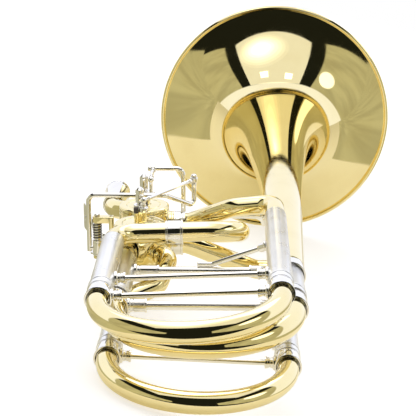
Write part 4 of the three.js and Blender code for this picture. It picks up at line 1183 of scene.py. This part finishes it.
spring = Coil(HINGE, radius=3.35, foot=-0.65, top=12.15, turns=6)
wire = Form().bar(spring, radius=0.45, edge=0.1, sides=WIRE_SIDES)
wire.finish("return_spring", STEEL, ["first_lever_spring"])


# Second lever

BAR_BACK = 345
BAR_Z = -14.6
BAR_RADIUS = 2.4
BAR_START = 80
BAR_END = 150
BAR_GROOVE = (86.6, 87.2)
SECOND_EYE = place(-107.39, BAR_BACK, 43)
SECOND_PADDLE = place(-150, 368, -19)
second = Form()
second.turned(place(0, BAR_BACK, BAR_Z), -X_AXIS, [
    (BAR_START, BAR_RADIUS), *groove(*BAR_GROOVE, BAR_RADIUS, HUB_GROOVE_DEPTH),
    (BAR_END, BAR_RADIUS),
], edge=SOFT_EDGE, sides=ROD_SIDES)
second.bar(Route([
    place(-83, BAR_BACK, BAR_Z), place(-83, BAR_BACK, SECOND_EYE.z),
    SECOND_EYE + X_AXIS * (EYE_HALF + EYE_GAP),
], [5.5]), ROD)
eye_bolt(second, SECOND_EYE, X_AXIS, BOLT_SHORT, BOLT_LONG, -X_AXIS)
second.bar(Route([
    place(-146, BAR_BACK, BAR_Z), place(-146, 354, BAR_Z), place(-150, 371, -16.3),
], [3]), ROD)
paddle(second, SECOND_PADDLE, -X_AXIS, Y_AXIS, -Z_AXIS)
second.finish("second_thumb_lever", NICKEL, ["second_lever"], "second_lever")

RING_HALF = 2
RING_BORE = 2.8
RING_RADIUS = 4.4
STRAP_START = 3.6
for side, across, strap_end in (
    ("right", -90, place(-90, BELL_BRACE_BACK + 2.6, -2)),
    ("left", -127, place(-125.4, BAR_BACK, -9.6)),
):
    node = "second_lever_bearing_" + side
    centre = place(across, BAR_BACK, BAR_Z)
    band = [(-RING_HALF, RING_RADIUS), (RING_HALF, RING_RADIUS)]
    form = Form().turned(centre, X_AXIS, band, RING_BORE, SOFT_EDGE, HUB_SIDES)
    form.bar(straight(centre + (strap_end - centre).normalized() * STRAP_START, strap_end), ROD)
    form.finish(node + "_ring", NICKEL, [node])


# Links from the levers to the stop arms

FIRST_BALL = place(-109.94, 425.77, FIRST_EYE.z)
SECOND_BALL = place(-107.39, 377.01, SECOND_EYE.z)
EYE_BORE = 1.6
EYE_RADIUS = 3.1
EYE_WALL_MIDDLE = (EYE_BORE + EYE_RADIUS) / 2
LINK_RADIUS = 1.4
LINK_NUT_RISE = 0.5
LINK_NUT_SPAN = (5, 7.5)


def link(node, eye, ball, eye_axis, foot_z):
    """An eye, a rod with a nut at each end, and a ball with its stud."""
    near_nut, far_nut = LINK_NUT_SPAN
    length = (ball - eye).length
    band = [(-EYE_HALF, EYE_RADIUS), (EYE_HALF, EYE_RADIUS)]
    form = Form().turned(eye, eye_axis, band, EYE_BORE, ROUND_EDGE, HUB_SIDES)
    form.turned(eye, ball - eye, [
        (EYE_WALL_MIDDLE, LINK_RADIUS), *groove(near_nut, far_nut, LINK_RADIUS, -LINK_NUT_RISE),
        *groove(length - far_nut, length - near_nut, LINK_RADIUS, -LINK_NUT_RISE),
        (length, LINK_RADIUS),
    ], edge=FINE_EDGE, sides=ROD_SIDES)
    form.ball(ball, radius=2.5)
    form.bar(straight(at_height(ball, foot_z), ball), radius=1.3, edge=0.15)
    form.finish(node + "_rod", NICKEL, [node], node)


link("first_link", FIRST_EYE, FIRST_BALL, Z_AXIS, 35.6)
link("second_link", SECOND_EYE, SECOND_BALL, X_AXIS, 32.3)

# CAD nodes that still show get the same finish

for rotor in ("far_rotor", "near_rotor"):
    for material_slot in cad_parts[rotor].material_slots:
        material_slot.material = NICKEL


# World, by direction in the instrument's own frame: a white sweep behind and below, pale
# curtains at both sides, a round lamp on the right one and darkness elsewhere

DARK = (0.013, 0.014, 0.010, 1)
WHITE = (1, 1, 1, 1)
SWEEP_WHITE = (1.07, 1.1, 1.22, 1)
LAMP_WHITE = (1.8, 1.8, 1.8, 1)
LAMP_MIDDLE = (-0.32, 0.55)
LAMP_SIZE = (0.34, 0.2)
LAMP_EDGE = (1.1, 0.8)
CURTAIN_LIGHT = (0.6, 0.58, 0.4, 1)
CURTAIN_DARK = (0.46, 0.44, 0.3, 1)
CURTAIN_TOPS = (0.92, 0.8)
CURTAIN_FRONT = -2.2
FOLD_STRETCH = (1.7, 0.9)
FOLD_SCALE = 1.4
FOLD_RANGE = (0.35, 0.68)
SWEEP_SIDE = 0.02
SWEEP_LEAN = 0.53
LEAST_ASIDE = 0.001
RIGHT_FADE = 0.1
EDGE = 0.02


def curtain_colour(nodes, along, up):
    """Cloth with soft upright folds; along and up are distances on the curtain."""
    joined = nodes.add("ShaderNodeCombineXYZ")
    for axis, value, stretch in zip("XY", (along, up), FOLD_STRETCH):
        nodes.feed(joined.inputs[axis], nodes.times(value, stretch))
    folds = nodes.noise(joined.outputs[0], FOLD_SCALE)
    return nodes.mix(nodes.ramp(folds, *FOLD_RANGE), CURTAIN_DARK, CURTAIN_LIGHT)


def studio(world):
    """What metal mirrors of the room; the camera itself sees plain white."""
    nodes = Nodes(world.node_tree)
    way = nodes.add("ShaderNodeTexCoord").outputs["Generated"]

    def component(axis):
        node = nodes.add("ShaderNodeVectorMath", operation="DOT_PRODUCT")
        nodes.feed(node.inputs[0], way)
        nodes.feed(node.inputs[1], turn_axes @ axis)
        return node.outputs["Value"]

    right, ahead, up = component(X_AXIS), component(Y_AXIS), component(Z_AXIS)
    aside = nodes.math("MAXIMUM", nodes.math("ABSOLUTE", right), LEAST_ASIDE)
    on_wall = [nodes.math("DIVIDE", value, aside) for value in (ahead, up)]

    at_right = nodes.ramp(right, 0.0, RIGHT_FADE)
    below_top = nodes.minus(on_wall[1], nodes.ramp(at_right, 0.0, 1.0, *CURTAIN_TOPS))
    curtain = nodes.times(
        nodes.past(below_top, 0, -EDGE), nodes.past(on_wall[0], CURTAIN_FRONT, EDGE)
    )
    colour = nodes.mix(curtain, DARK, curtain_colour(nodes, *on_wall))

    squares = []
    for value, middle, size in zip(on_wall, LAMP_MIDDLE, LAMP_SIZE):
        offset = nodes.math("DIVIDE", nodes.minus(value, middle), size)
        squares.append(nodes.times(offset, offset))
    disc = nodes.ramp(nodes.math("ADD", *squares), *LAMP_EDGE)
    colour = nodes.mix(nodes.times(disc, at_right), colour, LAMP_WHITE)

    slope = nodes.minus(ahead, nodes.times(up, SWEEP_LEAN))
    beyond = nodes.minus(slope, nodes.times(aside, SWEEP_SIDE))
    colour = nodes.mix(nodes.past(beyond, 0, EDGE), colour, SWEEP_WHITE)

    path = nodes.add("ShaderNodeLightPath").outputs
    shader = nodes.add("ShaderNodeBackground")
    nodes.feed(shader.inputs["Color"], nodes.mix(path["Is Camera Ray"], colour, WHITE))
    nodes.show("ShaderNodeOutputWorld", shader.outputs[0])


world = bpy.data.worlds.new("studio")
world.use_nodes = True
studio(world)
bpy.context.scene.world = world


# Floor, in metres

FLOOR_DROP = 0.0001
FLOOR_REACH = 6.0
PAPER_LIGHT = (0.66, 0.65, 0.64, 1)
PAPER_DARK = (0.62, 0.61, 0.6, 1)
NEAR_GLOW = (0.64, 0.63, 0.62, 1)
FAR_GLOW = (0.9, 0.9, 0.9, 1)
NO_GLOW = (0, 0, 0, 1)
NEAR_REACH = 0.4
FAR_REACH = 1.6
MIRRORED_GLOW = (0.44, 0.4, 0.27, 1)
PAPER_MIDDLE = 0.045
PAPER_HALF_WIDTH = 0.185
PAPER_FRONT = -0.385
PAPER_EDGE = 0.004
SWEEP_FROM = 0.3
DARK_FROM = 0.3
DARK_SPREAD = 0.445
DARK_EDGE = 0.01
# Stretch of the curtain folds in the painted reflection that the floor gives off past its edges
CURTAIN_REFLECTION_STRETCH = 3.0


def floor_material():
    """White paper that shades under the object; past its edges, metal sees the floor glow with a
    painted reflection of curtains and painted darkness.
    """
    material, nodes = new_material("pale_floor")
    spot = nodes.add("ShaderNodeTexCoord").outputs["Object"]
    path = nodes.add("ShaderNodeLightPath").outputs
    mirrored = path["Is Glossy Ray"]
    parts = nodes.add("ShaderNodeSeparateXYZ")
    nodes.feed(parts.inputs[0], spot)
    along = parts.outputs["Y"]
    aside = nodes.math("ABSOLUTE", nodes.minus(parts.outputs["X"], PAPER_MIDDLE))

    diffuse = nodes.add("ShaderNodeBsdfDiffuse")
    grain = nodes.noise(spot, scale=260.0, detail=4.0)
    nodes.feed(diffuse.inputs["Color"], nodes.mix(grain, PAPER_DARK, PAPER_LIGHT))
    distance = nodes.add("ShaderNodeVectorMath", operation="LENGTH")
    nodes.feed(distance.inputs[0], spot)
    away = nodes.ramp(distance.outputs["Value"], NEAR_REACH, FAR_REACH)
    seen = nodes.math("MAXIMUM", path["Is Camera Ray"], path["Is Transmission Ray"])
    bright = nodes.mix(seen, NO_GLOW, nodes.mix(away, NEAR_GLOW, FAR_GLOW))
    glow = nodes.add("ShaderNodeEmission")
    nodes.feed(glow.inputs["Color"], nodes.mix(mirrored, bright, MIRRORED_GLOW))
    paper = nodes.add("ShaderNodeAddShader")
    nodes.feed(paper.inputs[0], diffuse.outputs[0])
    nodes.feed(paper.inputs[1], glow.outputs[0])

    # Past the paper's edges the floor glows for glossy rays only: a painted reflection of curtain
    # folds, and painted darkness in the unlit wedge in front
    past_side = nodes.times(
        nodes.past(aside, PAPER_HALF_WIDTH, PAPER_EDGE), nodes.past(along, SWEEP_FROM, -PAPER_EDGE)
    )
    past_front = nodes.past(along, PAPER_FRONT, -PAPER_EDGE)
    past_edge = nodes.times(nodes.math("MAXIMUM", past_side, past_front), mirrored)
    reach = nodes.times(nodes.minus(DARK_FROM, along), DARK_SPREAD)
    unlit = nodes.times(past_front, nodes.past(nodes.minus(reach, aside), 0, DARK_EDGE))
    # Painted reflection: an emission of curtain folds, dark where unlit, though the floor is no lamp
    folds = curtain_colour(nodes, nodes.times(along, CURTAIN_REFLECTION_STRETCH), aside)
    curtain_reflection = nodes.add("ShaderNodeEmission")
    nodes.feed(curtain_reflection.inputs["Color"], nodes.mix(unlit, folds, DARK))
    either = nodes.add("ShaderNodeMixShader")
    for socket, value in zip(either.inputs, (past_edge, paper.outputs[0], curtain_reflection.outputs[0])):
        nodes.feed(socket, value)
    nodes.show("ShaderNodeOutputMaterial", either.outputs[0])
    return material


floor_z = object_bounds()[0][2] - FLOOR_DROP
floor_mesh = bpy.data.meshes.new("floor")
floor_mesh.from_pydata(
    [(x * FLOOR_REACH, y * FLOOR_REACH, floor_z) for x, y in ((-1, -1), (1, -1), (1, 1), (-1, 1))],
    [], [(0, 1, 2, 3)],
)
floor_mesh.materials.append(floor_material())
floor = bpy.data.objects.new("floor", floor_mesh)
bpy.context.scene.collection.objects.link(floor)


# Lit panel overhead, brighter at its middle, and two small lamps beside it. Each row gives
# a lamp's place in the instrument's own frame, its width and depth in metres and how bright
# it looks.

LAMPS = [
    ("panel", "RECTANGLE", Vector((0, -317, 550)), (0.78, 1.085), 0.74),
    ("left_square", "SQUARE", Vector((-130, 70, 540)), (0.1, 0.1), 1.6),
    ("right_square", "SQUARE", Vector((180, 100, 540)), (0.1, 0.1), 1.6),
]
HEART = Vector((-125, -420, 545))
HEART_SIZE = (0.53, 0.74)
HEART_LEVEL = 0.055
HEART_RINGS = 8
LAMP_POWER = 4
for ring in range(1, HEART_RINGS + 1):
    size = [length * ring / HEART_RINGS for length in HEART_SIZE]
    level = HEART_LEVEL * (HEART_RINGS + 1 - ring)
    LAMPS.append((f"heart_{ring}", "ELLIPSE", HEART - Z_AXIS * ring, size, level))

for name, shape, middle, (width, depth), level in LAMPS:
    light = bpy.data.lights.new(name, "AREA")
    light.shape = shape
    light.size, light.size_y = width, depth
    roundness = math.pi / 4 if shape == "ELLIPSE" else 1
    light.energy = LAMP_POWER * width * depth * roundness * level
    lamp = bpy.data.objects.new(name, light)
    lamp.matrix_world = Matrix.Translation(TO_ROW @ middle) @ turn
    lamp.visible_camera = False
    bpy.context.scene.collection.objects.link(lamp)


# Camera

PITCH = math.radians(17.63)
YAW = math.radians(-1.22)
FOCAL_PIXELS = 1393
PICTURE_PIXELS = 416
SENSOR_MM = 36
EYE = Vector((-39.5, -1436, 356.2))

view = Vector((math.sin(YAW) * math.cos(PITCH), math.cos(YAW) * math.cos(PITCH), -math.sin(PITCH)))
across = Vector((math.cos(YAW), -math.sin(YAW), 0))
up = across.cross(view)
axes = Matrix([turn_axes @ axis for axis in (across, up, -view)]).transposed()
camera_data = bpy.data.cameras.new("camera")
camera_data.sensor_width = SENSOR_MM
camera_data.lens = FOCAL_PIXELS / PICTURE_PIXELS * SENSOR_MM
camera = bpy.data.objects.new("camera", camera_data)
camera.matrix_world = Matrix.Translation(TO_ROW @ EYE) @ axes.to_4x4()
bpy.context.scene.collection.objects.link(camera)
bpy.context.scene.camera = camera
bpy.context.scene.view_settings.view_transform = "Standard"
